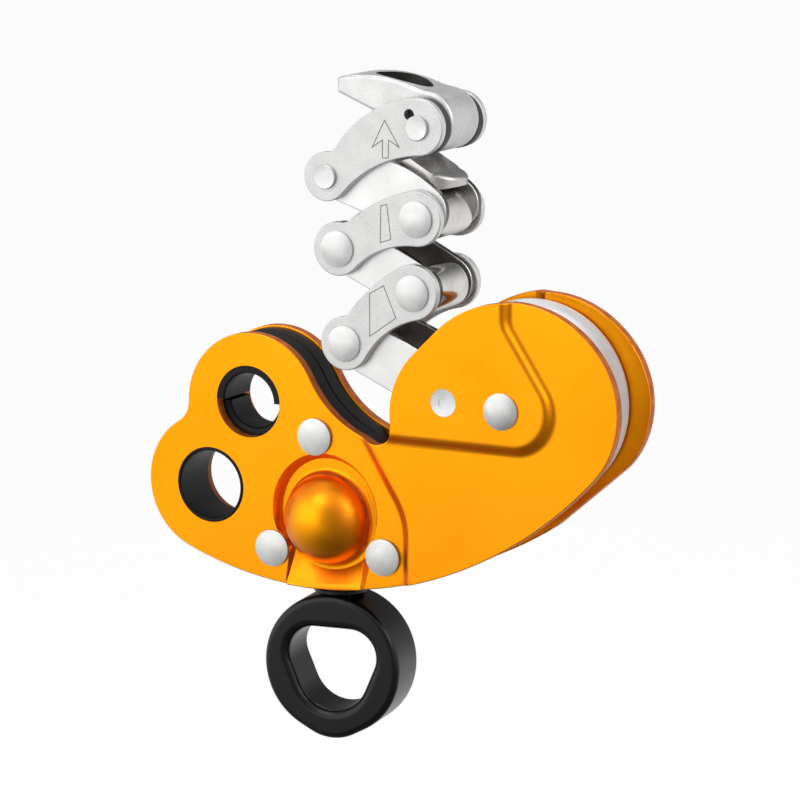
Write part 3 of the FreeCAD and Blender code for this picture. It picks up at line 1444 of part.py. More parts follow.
def make_lever(label):
    body = new_body(label)
    sketch = new_sketch(body, label + "_side", "XZ_Plane")
    draw_smooth(sketch, [
        Bow(dim.lever_barrel, 1, -dim.lever_shift, dim.lever_lift),
        Bow(dim.lever_saddle, -1, side=-1),
        Bow(dim.lever_crest, 1, -dim.lever_crest_x, dim.lever_crest_z - dim.lever_crest),
        Bow(dim.lever_tip, 1, -dim.lever_tip_x, dim.lever_tip_z, free_x=True, straight=True),
        Bow(dim.lever_tip, 1, -dim.lever_tip_x, dim.lever_tip_low, straight=True),
        Bow(dim.lever_throat, -1, -dim.lever_throat_x, dim.lever_throat_z, free_x=True),
    ])
    pad(body, sketch, dim.lever_half * 2, both_ways=True)

    def on_flank(shape, edge):
        box = edge.BoundBox
        return box.YLength < 1e-4 and box.XMin < -float(dim.lever_barrel)

    round_edges(body, dim.lever_edge, on_flank)
    hole = new_sketch(body, label + "_hole", "XY_Plane")
    tilt = Rotation(Vector(0, 1, 0), float(dim.lever_hole_tilt))
    hole.AttachmentOffset = Placement(Vector(-float(dim.lever_hole_x), 0, float(dim.lever_crest_z)), tilt)
    bind(hole, "AttachmentOffset.Base.x", -dim.lever_hole_x)
    bind(hole, "AttachmentOffset.Base.z", dim.lever_crest_z)
    bind(hole, "AttachmentOffset.Rotation.Angle", dim.lever_hole_tilt)
    draw_smooth(hole, [
        Bow(dim.lever_hole_end, 1, dim.lever_hole_reach, 0.0),
        Bow(dim.lever_hole_side, 1, side=1),
        Bow(dim.lever_hole_end, 1, -dim.lever_hole_reach, 0.0),
        Bow(dim.lever_hole_side, 1, side=1),
    ])
    settled(hole)
    through = body.newObject("PartDesign::Pocket", label + "_hole_cut")
    through.Profile = hole
    through.Type = "ThroughAll"
    through.Midplane = True
    document.recompute()
    pin = new_sketch(body, label + "_pin_bore", "XZ_Plane")
    draw_circles(pin, [(0.0, 0.0, dim.pin_radius + dim.pin_fit)])
    settled(pin)
    bore = body.newObject("PartDesign::Pocket", label + "_pin_cut")
    bore.Profile = pin
    bore.Type = "ThroughAll"
    bore.Midplane = True
    document.recompute()
    place(body, dim.a_right_x, dim.a_right_z)
    return body


WASHER_GAP = 0.1
keep(make_lever("lever"))
keep(gathered("lever_washers", [
    tube(f"lever_washer_{number}", dim.pin_radius + dim.pin_fit, dim.washer_radius, low, high,
         dim.a_right_x, dim.a_right_z)
    for number, (low, high) in enumerate(((dim.lever_half, dim.link_level - WASHER_GAP),
                                          (-dim.link_level + WASHER_GAP, -dim.lever_half)), start=1)]))


# Checks and files.

document.recompute()
for item in document.Objects:
    if "Invalid" in item.State or "Error" in item.State:
        raise ValueError(f"{item.Label} failed: {item.State}")
os.makedirs("parts", exist_ok=True)
for node in nodes:
    shape = node.Shape
    if shape.isNull() or not shape.isValid() or not shape.Solids:
        raise ValueError(f"{node.Label} has no valid solid")
    shape.exportStep(f"parts/{node.Label}.step")
    print(node.Label, len(shape.Solids), round(shape.Volume, 1))
print(len(nodes), "nodes")
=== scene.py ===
import bpy
import json
import math
from fnmatch import fnmatch
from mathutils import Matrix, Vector


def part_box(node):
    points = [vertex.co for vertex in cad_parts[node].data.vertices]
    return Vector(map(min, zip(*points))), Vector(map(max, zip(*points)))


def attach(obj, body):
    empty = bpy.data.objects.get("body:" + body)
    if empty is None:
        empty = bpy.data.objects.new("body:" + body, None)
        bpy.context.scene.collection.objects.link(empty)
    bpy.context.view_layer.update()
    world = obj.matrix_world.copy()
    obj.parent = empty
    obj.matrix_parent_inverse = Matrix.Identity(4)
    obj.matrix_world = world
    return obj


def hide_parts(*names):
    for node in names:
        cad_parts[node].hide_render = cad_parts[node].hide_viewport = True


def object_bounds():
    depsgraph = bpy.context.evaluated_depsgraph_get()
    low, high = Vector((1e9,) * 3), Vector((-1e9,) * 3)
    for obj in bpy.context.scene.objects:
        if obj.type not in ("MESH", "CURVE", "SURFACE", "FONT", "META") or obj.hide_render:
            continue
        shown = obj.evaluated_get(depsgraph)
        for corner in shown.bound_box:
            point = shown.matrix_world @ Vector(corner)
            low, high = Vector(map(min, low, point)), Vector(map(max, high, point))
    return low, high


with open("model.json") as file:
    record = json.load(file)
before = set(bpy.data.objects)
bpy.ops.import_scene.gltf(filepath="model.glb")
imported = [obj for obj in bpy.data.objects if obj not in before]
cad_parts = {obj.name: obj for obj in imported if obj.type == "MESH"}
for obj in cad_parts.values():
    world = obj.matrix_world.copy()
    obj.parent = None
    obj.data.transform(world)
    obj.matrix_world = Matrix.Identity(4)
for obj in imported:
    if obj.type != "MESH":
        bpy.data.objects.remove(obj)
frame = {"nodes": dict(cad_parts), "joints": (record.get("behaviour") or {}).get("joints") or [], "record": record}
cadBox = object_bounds()
nodes = frame["nodes"]
mm = 0.001
bpy.ops.object.select_all(action="DESELECT")
print("frame loaded:", len(nodes), "nodes")


# Small helpers for materials.

def fromHex(code):
    # screen colour, such as F7A21A, as the linear values the shader takes
    channels = [int(code[i:i + 2], 16) / 255 for i in (0, 2, 4)]
    return [c / 12.92 if c <= 0.04045 else ((c + 0.055) / 1.055) ** 2.4 for c in channels] + [1.0]


def addNode(tree, kind, inputs=None, **settings):
    node = tree.nodes.new(kind)
    for name, value in settings.items():
        setattr(node, name, value)
    for name, value in (inputs or {}).items():
        if isinstance(value, bpy.types.NodeSocket):
            tree.links.new(value, node.inputs[name])
        else:
            node.inputs[name].default_value = value
    return node


# Camera where the photograph was taken from, a white room and soft boxes.

studio = {
    "azimuth": 28.6,               # degrees round from straight in front
    "elevation": 10.8,
    "distance": 1.0,               # metres from the lens, and from each lamp, to the aim point
    "aim": (39.68, 18.09, 20.73),  # millimetres, the middle of the picture
    "lens": 180.0,                 # millimetres, on a sensor 36 mm wide
    "sensor": 36.0,
    "farthest": 40.0,              # metres that the lens sees
    "white": 1.0,                  # what the lens sees of backdrop and floor
    "fill": 0.42,                  # what the same white gives to the object
    "unlit": (                     # azimuth, elevation, cosine where it starts and is full, level
        (50, -50, 0.40, 0.95, 0.22),
        (-30, -76, 0.52, 0.93, 0.40),
        (196, 14, 0.66, 0.95, 0.16),
        (30, 12, 0.80, 0.98, 0.45),
    ),
    "lamps": (                     # name, azimuth, elevation, width, height, watts
        ("leftSoftbox", -36, 6, 1.20, 1.20, 4.3),
        ("topSoftbox", -14, 52, 0.50, 0.40, 1.8),
        ("rightSoftbox", 86, 34, 0.45, 0.70, 3.0),
        ("backSoftbox", 200, 62, 0.80, 0.50, 3.0),
    ),
}

floorLook = {
    "size": 14.0,                  # metres
    "drop": 75.0,                  # millimetres of air under the hanging object
    "colour": "F4F4F4",
    "rough": 0.9,
    "glow": 0.93,                  # how much of it is plain white to the lens, the rest takes the shadow
}


def lookFrom(azimuth, elevation):
    # unit vector from the object towards a viewer
    a, e = math.radians(azimuth), math.radians(elevation)
    return Vector((math.sin(a) * math.cos(e), -math.cos(a) * math.cos(e), math.sin(e)))


def setUp(thing, azimuth, elevation):
    # stands a lamp or the camera round the object and turns it to the aim point
    thing.location = aim + lookFrom(azimuth, elevation) * studio["distance"]
    thing.rotation_euler = (aim - thing.location).to_track_quat("-Z", "Y").to_euler()


aim = Vector(studio["aim"]) * mm
bpy.ops.object.camera_add()
camera = bpy.context.object
setUp(camera, studio["azimuth"], studio["elevation"])
camera.data.lens = studio["lens"]
camera.data.sensor_width = studio["sensor"]
camera.data.clip_end = studio["farthest"]
bpy.context.scene.camera = camera
bpy.context.scene.view_settings.view_transform = "Standard"

for lampName, azimuth, elevation, wide, high, watts in studio["lamps"]:
    bpy.ops.object.light_add(type="AREA")
    lamp = bpy.context.object
    lamp.name = lampName
    lamp.data.shape = "RECTANGLE"
    lamp.data.size, lamp.data.size_y = wide, high
    lamp.data.energy = watts
    setUp(lamp, azimuth, elevation)


def roomLevel(tree, direction):
    # brightness of the room in a fixed direction, as metal mirrors it: white but for its unlit parts
    level = studio["white"]
    for azimuth, elevation, start, full, darkest in studio["unlit"]:
        towards = addNode(tree, "ShaderNodeVectorMath",
                          {0: direction, 1: lookFrom(azimuth, elevation)}, operation="DOT_PRODUCT")
        part = addNode(tree, "ShaderNodeMapRange",
                       {"Value": towards.outputs["Value"], "From Min": start, "From Max": full,
                        "To Min": 1.0, "To Max": darkest}, interpolation_type="SMOOTHSTEP")
        level = addNode(tree, "ShaderNodeMath", {0: part.outputs["Result"], 1: level},
                        operation="MULTIPLY").outputs[0]
    return level


def whiteRoom(tree, direction, unseen):
    # white for the lens and through glass, the room for mirrors, unseen for soft light
    path = addNode(tree, "ShaderNodeLightPath").outputs
    mirrored = addNode(tree, "ShaderNodeMapRange",
                       {"Value": path["Is Glossy Ray"], "To Min": unseen,
                        "To Max": roomLevel(tree, direction)})
    straight = addNode(tree, "ShaderNodeMath",
                       {0: path["Is Camera Ray"], 1: path["Is Transmission Ray"]}, operation="MAXIMUM")
    return addNode(tree, "ShaderNodeMapRange",
                   {"Value": straight.outputs[0], "To Min": mirrored.outputs["Result"],
                    "To Max": studio["white"]}).outputs["Result"]


world = bpy.data.worlds.new("whiteRoom")
bpy.context.scene.world = world
world.use_nodes = True
sky = world.node_tree
background = sky.nodes["Background"]
background.inputs["Color"].default_value = fromHex("FFFFFF")
skyWay = addNode(sky, "ShaderNodeTexCoord").outputs["Generated"]
sky.links.new(whiteRoom(sky, skyWay, studio["fill"]), background.inputs["Strength"])

bpy.ops.mesh.primitive_plane_add(size=floorLook["size"],
                                 location=(0, 0, cadBox[0][2] - floorLook["drop"] * mm))
floor = bpy.context.object
floor.name = "floor"
floorPaint = bpy.data.materials.new("floorPaint")
floorPaint.use_nodes = True
paintTree = floorPaint.node_tree
paint = paintTree.nodes["Principled BSDF"]
paint.inputs["Base Color"].default_value = fromHex(floorLook["colour"])
paint.inputs["Roughness"].default_value = floorLook["rough"]
spot = addNode(paintTree, "ShaderNodeNewGeometry").outputs["Position"]
away = addNode(paintTree, "ShaderNodeVectorMath", {0: spot, 1: aim}, operation="SUBTRACT")
floorWay = addNode(paintTree, "ShaderNodeVectorMath", {0: away.outputs["Vector"]},
                   operation="NORMALIZE").outputs["Vector"]
glow = addNode(paintTree, "ShaderNodeEmission",
               {"Color": fromHex("FFFFFF"), "Strength": whiteRoom(paintTree, floorWay, 0.0)})
softRay = addNode(paintTree, "ShaderNodeLightPath").outputs["Is Diffuse Ray"]
share = addNode(paintTree, "ShaderNodeMapRange",
                {"Value": softRay, "To Min": floorLook["glow"], "To Max": 0.0})
blendPaint = addNode(paintTree, "ShaderNodeMixShader",
                     {0: share.outputs["Result"], 1: paint.outputs[0], 2: glow.outputs[0]})
paintTree.links.new(blendPaint.outputs[0], paintTree.nodes["Material Output"].inputs["Surface"])
floor.data.materials.append(floorPaint)
print("studio ready")


# Finishes. Grain and cloud are feature sizes in millimetres. Real blasting and
# anodising grain is about 0.1 mm, drawn at 0.3 mm and more so that it shows.

pattern = {
    "cloudSpan": (0.38, 0.62),     # part of the noise over which one tone turns into the other
    "cloudDetail": 3.0,
    "grainDetail": 2.0,
    "pitSpan": (0.34, 0.50),       # the lowest grains are the pits, which are darker
    "glossSpan": (0.35, 0.65),
    "relief": 0.3,                 # height of a grain as a share of its width
}


def newFinish(name, look):
    material = bpy.data.materials.new(name)
    material.use_nodes = True
    tree = material.node_tree
    shader = tree.nodes["Principled BSDF"]
    shader.inputs["Metallic"].default_value = look["metallic"]
    shader.inputs["Specular IOR Level"].default_value = look.get("glaze", 0.5)
    place = addNode(tree, "ShaderNodeTexCoord").outputs["Object"]
    clouds = addNode(tree, "ShaderNodeTexNoise",
                     {"Vector": place, "Scale": 1 / (look["cloud"] * mm), "Detail": pattern["cloudDetail"]})
    tones = addNode(tree, "ShaderNodeValToRGB", {"Fac": clouds.outputs["Fac"]})
    ends = zip(tones.color_ramp.elements, pattern["cloudSpan"], ("dark", "light"))
    for element, position, tone in ends:
        element.position = position
        element.color = fromHex(look[tone])
    grain = addNode(tree, "ShaderNodeTexNoise",
                    {"Vector": place, "Scale": 1 / (look["grain"] * mm), "Detail": pattern["grainDetail"]})
    pits = addNode(tree, "ShaderNodeMapRange",
                   {"Value": grain.outputs["Fac"], "From Min": pattern["pitSpan"][0],
                    "From Max": pattern["pitSpan"][1], "To Min": 1.0 - look["pits"], "To Max": 1.0})
    pitted = addNode(tree, "ShaderNodeVectorMath",
                     {0: tones.outputs["Color"], "Scale": pits.outputs["Result"]}, operation="SCALE")
    tree.links.new(pitted.outputs["Vector"], shader.inputs["Base Color"])
    gloss = addNode(tree, "ShaderNodeMapRange",
                    {"Value": grain.outputs["Fac"], "From Min": pattern["glossSpan"][0],
                     "From Max": pattern["glossSpan"][1], "To Min": look["rough"][0],
                     "To Max": look["rough"][1]})
    tree.links.new(gloss.outputs["Result"], shader.inputs["Roughness"])
    bump = addNode(tree, "ShaderNodeBump",
                   {"Height": grain.outputs["Fac"], "Strength": look["bump"],
                    "Distance": look["grain"] * mm * pattern["relief"]})
    tree.links.new(bump.outputs["Normal"], shader.inputs["Normal"])
    return {"material": material, "tree": tree, "shader": shader, "place": place,
            "colour": pitted.outputs["Vector"], "normal": bump.outputs["Normal"]}


finishes = {
    # satin anodised aluminium: deep orange dye over a fine etched metal, soft gloss
    "orangeAnodisedAluminium": {"dark": "F89A08", "light": "FAA00C", "metallic": 0.95, "pits": 0.03,
                                "rough": (0.31, 0.37), "cloud": 30.0, "grain": 0.35, "bump": 0.04},
    # the same dye on the sheared edge, which is rough and drinks it: browner and dull
    "shearedOrangeEdge": {"dark": "B4581C", "light": "CE7430", "metallic": 0.5, "pits": 0.15,
                          "rough": (0.45, 0.6), "cloud": 3.0, "grain": 0.4, "bump": 0.2},
    # walls of the drilled holes: orange darkened to brown as painted shade inside the holes
    "shadedHoleOrange": {"dark": "70360F", "light": "844214", "metallic": 0.6, "pits": 0.1,
                      "rough": (0.35, 0.45), "cloud": 3.0, "grain": 0.4, "bump": 0.1},
    # the broken corner between face and edge, its orange lightened as a painted highlight
    "orangeArrisHighlight": {"dark": "FFC048", "light": "FFCE60", "metallic": 0.8, "pits": 0.0,
                    "rough": (0.30, 0.36), "cloud": 10.0, "grain": 0.3, "bump": 0.03},
    # glass-filled nylon, moulded: soft black with a faint sheen
    "mouldedNylon": {"dark": "0D0D0E", "light": "121214", "metallic": 0.0, "pits": 0.2, "glaze": 0.18,
                     "rough": (0.36, 0.46), "cloud": 12.0, "grain": 0.4, "bump": 0.06},
    # hard black anodised aluminium: even black, satin
    "blackAnodisedAluminium": {"dark": "09090A", "light": "0C0C0D", "metallic": 0.0, "pits": 0.1,
                               "glaze": 0.3, "rough": (0.24, 0.30), "cloud": 15.0, "grain": 0.35,
                               "bump": 0.03},
    # stainless plate, bead blasted: pale, sparkling, no direction
    "beadBlastedSteel": {"dark": "CCCCCB", "light": "D4D4D3", "metallic": 0.8, "pits": 0.22,
                         "rough": (0.42, 0.54), "cloud": 6.0, "grain": 0.34, "bump": 0.12},
    # stainless plate, tumbled: smoother and a little brighter
    "tumbledSteel": {"dark": "D4D4D3", "light": "DEDEDD", "metallic": 0.85, "pits": 0.06,
                     "rough": (0.34, 0.42), "cloud": 8.0, "grain": 0.5, "bump": 0.06},
    # punched edge of the inner plates: burnished, its colour darkened as a painted reflection of the dark gap
    # beside it
    "edgeDarkReflection": {"dark": "4E4B48", "light": "6C6966", "metallic": 1.0, "pits": 0.1,
                      "rough": (0.16, 0.24), "cloud": 2.0, "grain": 0.3, "bump": 0.05},
    # faces inside the rings: steel darkened as painted shade between the plates
    "shadedInnerSteel": {"dark": "625E5B", "light": "76726F", "metallic": 0.55, "pits": 0.12,
                     "rough": (0.30, 0.42), "cloud": 5.0, "grain": 0.45, "bump": 0.06},
    # rollers polished by the rope, and the races and balls of the bearings
    "polishedSteel": {"dark": "CCCAC7", "light": "D8D6D3", "metallic": 1.0, "pits": 0.04,
                      "rough": (0.10, 0.16), "cloud": 5.0, "grain": 0.3, "bump": 0.02},
    # pressed rope guide, satin from tumbling
    "satinSteel": {"dark": "C4C2C0", "light": "D0CECC", "metallic": 0.9, "pits": 0.04,
                   "rough": (0.26, 0.34), "cloud": 5.0, "grain": 0.4, "bump": 0.03},
    # turned and tumbled rivet heads
    "turnedSteel": {"dark": "C6C6C5", "light": "D2D2D1", "metallic": 0.85, "pits": 0.05,
                    "rough": (0.32, 0.40), "cloud": 4.0, "grain": 0.4, "bump": 0.03},
    # clear anodised aluminium sheave: nearly white
    "clearAnodisedAluminium": {"dark": "DCDEE0", "light": "E6E8EA", "metallic": 0.35, "pits": 0.03,
                               "rough": (0.32, 0.40), "cloud": 10.0, "grain": 0.4, "bump": 0.04},
    # dark grey acetal washers, dull
    "acetalWasher": {"dark": "3E4042", "light": "48494C", "metallic": 0.0, "pits": 0.1, "glaze": 0.12,
                     "rough": (0.40, 0.50), "cloud": 5.0, "grain": 0.4, "bump": 0.05},
    # forged lever, blasted, then rubbed on its crown
    "forgedSteel": {"dark": "C8C8C7", "light": "D6D6D5", "metallic": 0.8, "pits": 0.16,
                    "rough": (0.36, 0.46), "cloud": 7.0, "grain": 0.42, "bump": 0.12},
    # wall inside the lever's hole: darkened to grey as painted shade
    "shadedBore": {"dark": "4A4745", "light": "5B5856", "metallic": 0.7, "pits": 0.2,
                 "rough": (0.35, 0.5), "cloud": 3.0, "grain": 0.5, "bump": 0.1},
    # laser mark: a thin grey-brown line
    "laserMark": {"dark": "6E6B64", "light": "7B7870", "metallic": 0.2, "pits": 0.1,
                  "rough": (0.5, 0.6), "cloud": 2.0, "grain": 0.3, "bump": 0.02},
}
made = {name: newFinish(name, look) for name, look in finishes.items()}


def finish(name):
    return made[name]["material"]


# Turned heads: the lathe leaves faint rings round the middle, and wear flattens the crown.

lathe = {
    "pitch": 0.9,                  # millimetres between rings
    "turn": 0.314,                 # what the wave texture needs from crest to crest at scale 1
    "waver": 0.4,
    "depth": 0.012,                # millimetres
    "strength": 0.6,
    "crown": 11.0,                 # millimetres, radius of a domed head
    "worn": 0.35,                  # how much of it is worn flat
}


def turnedHead(name, centre):
    base = newFinish(name, finishes["turnedSteel"])
    tree = base["tree"]
    fromMiddle = addNode(tree, "ShaderNodeMapping",
                         {"Vector": base["place"], "Scale": (1, 0, 1),
                          "Location": (-centre[0] * mm, 0, -centre[1] * mm)}).outputs["Vector"]
    rings = addNode(tree, "ShaderNodeTexWave",
                    {"Vector": fromMiddle, "Scale": lathe["turn"] / (lathe["pitch"] * mm),
                     "Distortion": lathe["waver"]}, wave_type="RINGS", rings_direction="Y")
    square = addNode(tree, "ShaderNodeVectorMath", {0: fromMiddle, 1: fromMiddle},
                     operation="DOT_PRODUCT")
    raised = addNode(tree, "ShaderNodeMath",
                     {0: square.outputs["Value"], 1: lathe["worn"] / (2 * lathe["crown"] * mm * mm)},
                     operation="MULTIPLY")
    flatter = addNode(tree, "ShaderNodeBump",
                      {"Height": raised.outputs[0], "Strength": 1.0, "Distance": mm,
                       "Normal": base["normal"]})
    bump = addNode(tree, "ShaderNodeBump",
                   {"Height": rings.outputs["Fac"], "Strength": lathe["strength"],
                    "Distance": lathe["depth"] * mm, "Normal": flatter.outputs["Normal"]})
    tree.links.new(bump.outputs["Normal"], base["shader"].inputs["Normal"])
    return base["material"]


# The press rounds each slope of the side plates into an S, and the slopes get a deeper, redder
# orange as painted shade. The faces lie at these levels from the middle plane, and the wave tilts
# nothing but what lies between two of them.

pressed = {
    "levels": (8.05, 10.55, 12.50),   # millimetres: plain face, pulley side, pulley cover
    "softness": 0.24,                 # millimetres that the S swings to each side of the slope
    "dish": (32.8, -4.4),             # x and z between the middles of dish and dome, which are round already
    "dishRoom": (15.6, 17.0),         # millimetres from there over which the S fades in
    # deeper, redder orange painted on the slopes as shade
    "deepDye": "EE8A14",
    "drawn": (0.72, 0.995),           # how far a face looks forward where its painted shade is full, and where there is none
}


def softenSlopes(base):
    tree = base["tree"]
    part = addNode(tree, "ShaderNodeSeparateXYZ", {0: base["place"]})
    level = addNode(tree, "ShaderNodeMath", {0: part.outputs["Y"]}, operation="ABSOLUTE").outputs[0]
    swings = []
    for low, high in zip(pressed["levels"], pressed["levels"][1:]):
        turn = addNode(tree, "ShaderNodeMapRange",
                       {"Value": level, "From Min": low * mm, "From Max": high * mm,
                        "To Min": 0.0, "To Max": -2 * math.pi})
        wave = addNode(tree, "ShaderNodeMath", {0: turn.outputs["Result"]}, operation="SINE")
        swings.append(wave.outputs[0])
    swing = addNode(tree, "ShaderNodeMath", {0: swings[0], 1: swings[1]}, operation="ADD").outputs[0]
    dishX, dishZ = pressed["dish"]
    across = addNode(tree, "ShaderNodeMapping",
                     {"Vector": base["place"], "Scale": (1, 0, 1),
                      "Location": (-dishX * mm, 0, -dishZ * mm)})
    away = addNode(tree, "ShaderNodeVectorMath", {0: across.outputs["Vector"]}, operation="LENGTH")
    near, far = pressed["dishRoom"]
    clear = addNode(tree, "ShaderNodeMapRange",
                    {"Value": away.outputs["Value"], "From Min": near * mm, "From Max": far * mm})
    height = addNode(tree, "ShaderNodeMath", {0: swing, 1: clear.outputs["Result"]},
                     operation="MULTIPLY")
    soft = addNode(tree, "ShaderNodeBump",
                   {"Height": height.outputs[0], "Strength": 1.0,
                    "Distance": pressed["softness"] * mm, "Normal": base["normal"]})
    tree.links.new(soft.outputs["Normal"], base["shader"].inputs["Normal"])


# painted shade: slopes that look less far forward take a deeper, redder orange
def shadeSlopes(base):
    tree = base["tree"]
    turned = addNode(tree, "ShaderNodeSeparateXYZ",
                     {0: addNode(tree, "ShaderNodeTexCoord").outputs["Normal"]})
    facing = addNode(tree, "ShaderNodeMath", {0: turned.outputs["Y"]}, operation="ABSOLUTE")
    steep, flat = pressed["drawn"]
    plain = addNode(tree, "ShaderNodeMapRange",
                    {"Value": facing.outputs[0], "From Min": steep, "From Max": flat},
                    interpolation_type="SMOOTHSTEP")
    slopeShaded = addNode(tree, "ShaderNodeMix",
                   {0: plain.outputs["Result"], 6: fromHex(pressed["deepDye"]), 7: base["colour"]},
                   data_type="RGBA")
    tree.links.new(slopeShaded.outputs[2], base["shader"].inputs["Base Color"])


softenSlopes(made["orangeAnodisedAluminium"])
shadeSlopes(made["orangeAnodisedAluminium"])
print("finishes ready:", len(made))


# Skins: merged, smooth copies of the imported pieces, with a finish for face, edge and arris.

skin = {
    "weld": 0.002,                 # millimetres between points that are one
    "smooth": 35.0,                # degrees, a sharper edge stays an edge
    "wall": 0.25,                  # a face that looks less than this forward is an edge of the plate
    "arris": math.sqrt(0.5),       # a broken corner stands at 45 degrees
    "slack": 0.003,
    "inner": 0.9,                  # a face that looks inwards by more than this is inside a ring
}
bodies = {node: body for body, members in frame["record"]["behaviour"]["bodies"].items()
          for node in members}


def dress(node, face, edge=None, arris=None, reshape=None):
    mesh = nodes[node].data.copy()
    piece = bpy.data.objects.new(node + "_skin", mesh)
    bpy.context.scene.collection.objects.link(piece)
    bpy.ops.object.select_all(action="DESELECT")
    bpy.context.view_layer.objects.active = piece
    piece.select_set(True)
    bpy.ops.mesh.customdata_custom_splitnormals_clear()
    bpy.ops.object.mode_set(mode="EDIT")
    bpy.ops.mesh.select_all(action="SELECT")
    bpy.ops.mesh.remove_doubles(threshold=skin["weld"] * mm)
    bpy.ops.object.mode_set(mode="OBJECT")
    if reshape:
        reshape(mesh)
    bpy.ops.object.shade_smooth_by_angle(angle=math.radians(skin["smooth"]))
    bpy.ops.object.modifier_add(type="WEIGHTED_NORMAL")      # keeps large flats flat to the light
    piece.modifiers[-1].keep_sharp = True
    bpy.ops.object.modifier_apply(modifier=piece.modifiers[-1].name)
    mesh.materials.clear()
    for material in (face, edge or face, arris or face):
        mesh.materials.append(material)
    for polygon in mesh.polygons:
        forward = abs(polygon.normal.y)
        if forward < skin["wall"]:
            polygon.material_index = 1
        elif abs(forward - skin["arris"]) < skin["slack"]:
            polygon.material_index = 2
        else:
            polygon.material_index = 0
    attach(piece, bodies[node])
    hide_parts(node)
    return piece


# Side plates: orange faces, brown sheared edges, arrises lightened as a painted highlight, hole walls
# darkened as painted shade, and the hollow at the foot of the dome drawn in as tight as it is pressed.

dome = {
    "x": 32.8,                     # millimetres, its axis, which runs from front to back
    "z": -5.5,
    "level": 5.0,                  # its centre, from the middle plane
    "radius": 11.5,
    "floor": 5.55,                 # the dish's floor
    "hollow": 1.1,                 # radius of the hollow between dome and floor
    "reach": 13.7,                 # how far out points are drawn in
    "kept": 0.95,                  # share of the radius inside which they stay
}
linerWall = 1.8                    # millimetres of plastic round the bore of a lined hole
linedHoles = [mount for mount in frame["record"]["mounts"] if mount["name"].endswith("_hole")]


def domeLevel(gap):
    # level of the dome, its hollow or the dish's floor, by the distance from the dome's axis
    rise = dome["floor"] + dome["hollow"] - dome["level"]
    reach = math.sqrt((dome["radius"] + dome["hollow"]) ** 2 - rise ** 2)
    touch = reach * dome["radius"] / (dome["radius"] + dome["hollow"])
    if gap < touch:
        return dome["level"] + math.sqrt(dome["radius"] ** 2 - gap ** 2)
    if gap < reach:
        return dome["floor"] + dome["hollow"] - math.sqrt(dome["hollow"] ** 2 - (reach - gap) ** 2)
    return dome["floor"]


def tightenHollow(mesh):
    for vertex in mesh.vertices:
        spot = vertex.co / mm
        gap = math.hypot(spot.x - dome["x"], spot.z - dome["z"])
        near = dome["radius"] * dome["kept"] < gap < dome["reach"]
        if near and domeLevel(gap) < abs(spot.y) < domeLevel(0):
            vertex.co.y = math.copysign(domeLevel(gap) * mm, spot.y)


def inLinedHole(place):
    for mount in linedHoles:
        gap = math.hypot(place.x - mount["pos_m"][0], place.z - mount["pos_m"][2]) / mm
        if gap < mount["dims"]["r_mm"] + linerWall:
            return True
    return False


def dressSidePlate(node):
    # the arris takes the lightened orange of a painted highlight
    plate = dress(node, finish("orangeAnodisedAluminium"), finish("shearedOrangeEdge"),
                  finish("orangeArrisHighlight"), reshape=tightenHollow)
    # walls of the lined holes take the brown of painted shade
    plate.data.materials.append(finish("shadedHoleOrange"))
    for polygon in plate.data.polygons:
        if polygon.material_index == 1 and inLinedHole(polygon.center):
            polygon.material_index = 3


for node in ("front_side_plate", "rear_side_plate"):
    dressSidePlate(node)
print("side plates dressed")


# Everything else by the name of its node: finishes for face, edge and arris.

coats = {
    "*_spacer": ("mouldedNylon",),
    "*_bush_*": ("mouldedNylon",),
    "*_saddle_*": ("mouldedNylon",),
    "swivel_eye": ("blackAnodisedAluminium",),
    "swivel_collar": ("blackAnodisedAluminium",),
    "link_*_plate": ("beadBlastedSteel", "tumbledSteel"),
    # ring plates: edges darkened as a painted reflection of the gap, inner faces darkened as painted shade
    "ring_*_plate": ("tumbledSteel", "edgeDarkReflection", "shadedInnerSteel"),
    "*_barrel": ("polishedSteel",),
    "*_guide": ("satinSteel",),
    "lever_washers": ("acetalWasher",),
    "sheave": ("clearAnodisedAluminium",),
}
inside = {                         # carried over as they are, because hardly any of it is seen
    "*_bearing_seals": "mouldedNylon",
    "*_bearing_*_ring": "polishedSteel",
    "*_bearing_balls": "polishedSteel",
    "*_bearing_cage": "satinSteel",
    "sheave_spacers": "satinSteel",
    "swivel_housing": "satinSteel",
    "swivel_stem": "satinSteel",
    "swivel_nut": "satinSteel",
}
unshadedInners = ("ring_three_rear_plate",)      # this plate's inner face gets the guide's satin finish in place of the painted shade


def matching(node, table):
    return next((look for name, look in table.items() if fnmatch(node, name)), None)


def shadeInside(node, plate):
    # the inner face of a ring's plate takes the third finish, painted shade between the plates, and its arris that
    # of the outer face
    inward = -1 if "rear" in node else 1
    for polygon in plate.data.polygons:
        if polygon.normal.y * inward > skin["inner"]:
            polygon.material_index = 2
        elif polygon.material_index == 2:
            polygon.material_index = 0
    if node in unshadedInners:
        plate.data.materials[2] = finish("satinSteel")


def hingeOf(joint):
    # a joint's place in millimetres
    return Vector(next(row for row in frame["joints"] if row["name"] == joint)["pos_m"]) / mm


def middleOf(node):
    low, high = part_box(node)
    return (low + high) / 2 / mm


for node in nodes:
    if matching(node, coats):
        piece = dress(node, *(finish(name) for name in matching(node, coats)))
        if fnmatch(node, "ring_*_plate"):
            shadeInside(node, piece)
    elif matching(node, inside):
        nodes[node].material_slots[0].material = finish(matching(node, inside))
    elif fnmatch(node, "*_pin") or node in ("sheave_axle", "ring_one_trunnions"):
        middle = hingeOf("chain_on_frame") if "trunnions" in node else middleOf(node)
        dress(node, turnedHead(node + "_head", (middle.x, middle.z)))
print("chain, liners, pulley and swivel dressed")


# Body rivets: one node, but each head has the lathe's rings round its own middle.

rivetReach = 12.0                  # millimetres, more than a rivet's width and less than the gaps


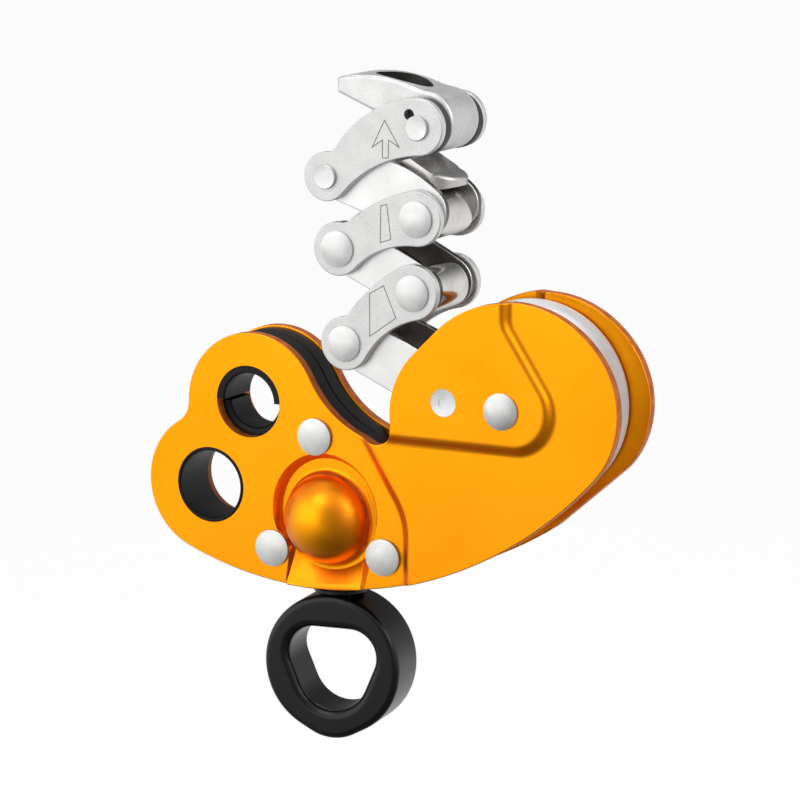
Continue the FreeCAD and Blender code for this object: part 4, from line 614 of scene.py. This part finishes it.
def looseMiddles(mesh):
    # the middle of each group of points that stands apart from the rest, in millimetres
    groups = []
    for vertex in mesh.vertices:
        spot = Vector((vertex.co.x, vertex.co.z)) / mm
        near = [group for group in groups if (group[0] - spot).length < rivetReach]
        if near:
            near[0].append(spot)
        else:
            groups.append([spot])
    return [((min(s.x for s in group) + max(s.x for s in group)) / 2,
             (min(s.y for s in group) + max(s.y for s in group)) / 2) for group in groups]


rivets = dress("body_rivets", finish("turnedSteel"))
rivetMiddles = looseMiddles(rivets.data)
rivets.data.materials.clear()
for index, middle in enumerate(rivetMiddles):
    rivets.data.materials.append(turnedHead("body_rivet_head_%d" % index, middle))
for polygon in rivets.data.polygons:
    spot = polygon.center / mm
    gaps = [math.hypot(spot.x - middle[0], spot.z - middle[1]) for middle in rivetMiddles]
    polygon.material_index = gaps.index(min(gaps))
print("body rivets:", len(rivetMiddles))


# Lever: pale outside, with painted shade on the walls of the hole behind its pivot.

leverHole = {
    "back": 11.6,                  # millimetres from the pivot to the hole's middle
    "reach": 9.0,                  # room searched along the lever, to each side of the middle
    "half": 5.6,                   # and across it
    "lift": 0.05,                  # a look across the hole starts this far off the wall
    "lying": 0.8,                  # a face that looks up or down by more than this isn't a wall
}
lever = dress("lever", finish("forgedSteel"))
# walls of the hole take the grey of painted shade
lever.data.materials[2] = finish("shadedBore")
pivot = hingeOf("lever_on_link_a")
for polygon in lever.data.polygons:
    spot = polygon.center / mm
    along = abs(spot.x - pivot.x + leverHole["back"])
    near = along < leverHole["reach"] and abs(spot.y) < leverHole["half"]
    start = polygon.center + polygon.normal * leverHole["lift"] * mm
    facesWall = lever.ray_cast(start, polygon.normal, distance=2 * leverHole["reach"] * mm)[0]
    upright = abs(polygon.normal.z) < leverHole["lying"]
    polygon.material_index = 2 if near and facesWall and upright else 0
print("lever dressed")


# Laser marks: thin outlines on the front links, an arrow and two wedges that show the way up.
# Corners are x and z in millimetres.

marks = {
    "arrow": ("link_a", ((51.64, 94.98), (55.94, 88.22), (52.82, 89.90), (52.81, 85.68),
                         (50.98, 85.57), (50.98, 89.79), (47.96, 87.78))),
    "upperWedge": ("link_b", ((50.51, 74.20), (52.32, 74.69), (53.47, 66.07), (50.33, 65.04))),
    "lowerWedge": ("link_c", ((47.39, 52.59), (51.40, 54.91), (54.85, 47.06), (47.44, 41.86))),
}
markLine = {"width": 0.22, "proud": 0.02}    # millimetres: as wide as it needs to be to show


def engrave(name, link, corners):
    plate = link + "_front_plate"
    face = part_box(plate)[0].y
    bpy.ops.object.select_all(action="DESELECT")
    bpy.ops.mesh.primitive_circle_add(vertices=len(corners), fill_type="NGON")
    mark = bpy.context.object
    mark.name = name
    for vertex, (x, z) in zip(mark.data.vertices, corners):
        vertex.co = (x * mm, face, z * mm)
    bpy.ops.object.mode_set(mode="EDIT")
    bpy.ops.mesh.select_all(action="SELECT")
    bpy.ops.mesh.inset(thickness=markLine["width"] * mm)
    bpy.ops.mesh.delete(type="FACE")                         # the middle, which leaves the line
    bpy.ops.mesh.select_all(action="SELECT")
    bpy.ops.mesh.extrude_region_move(
        TRANSFORM_OT_translate={"value": (0, -markLine["proud"] * mm, 0)})
    bpy.ops.mesh.select_all(action="SELECT")
    bpy.ops.mesh.normals_make_consistent(inside=False)
    bpy.ops.object.mode_set(mode="OBJECT")
    mark.data.materials.append(finish("laserMark"))
    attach(mark, link)


for name, (link, corners) in marks.items():
    engrave(name, link, corners)
print("marks engraved:", len(marks))
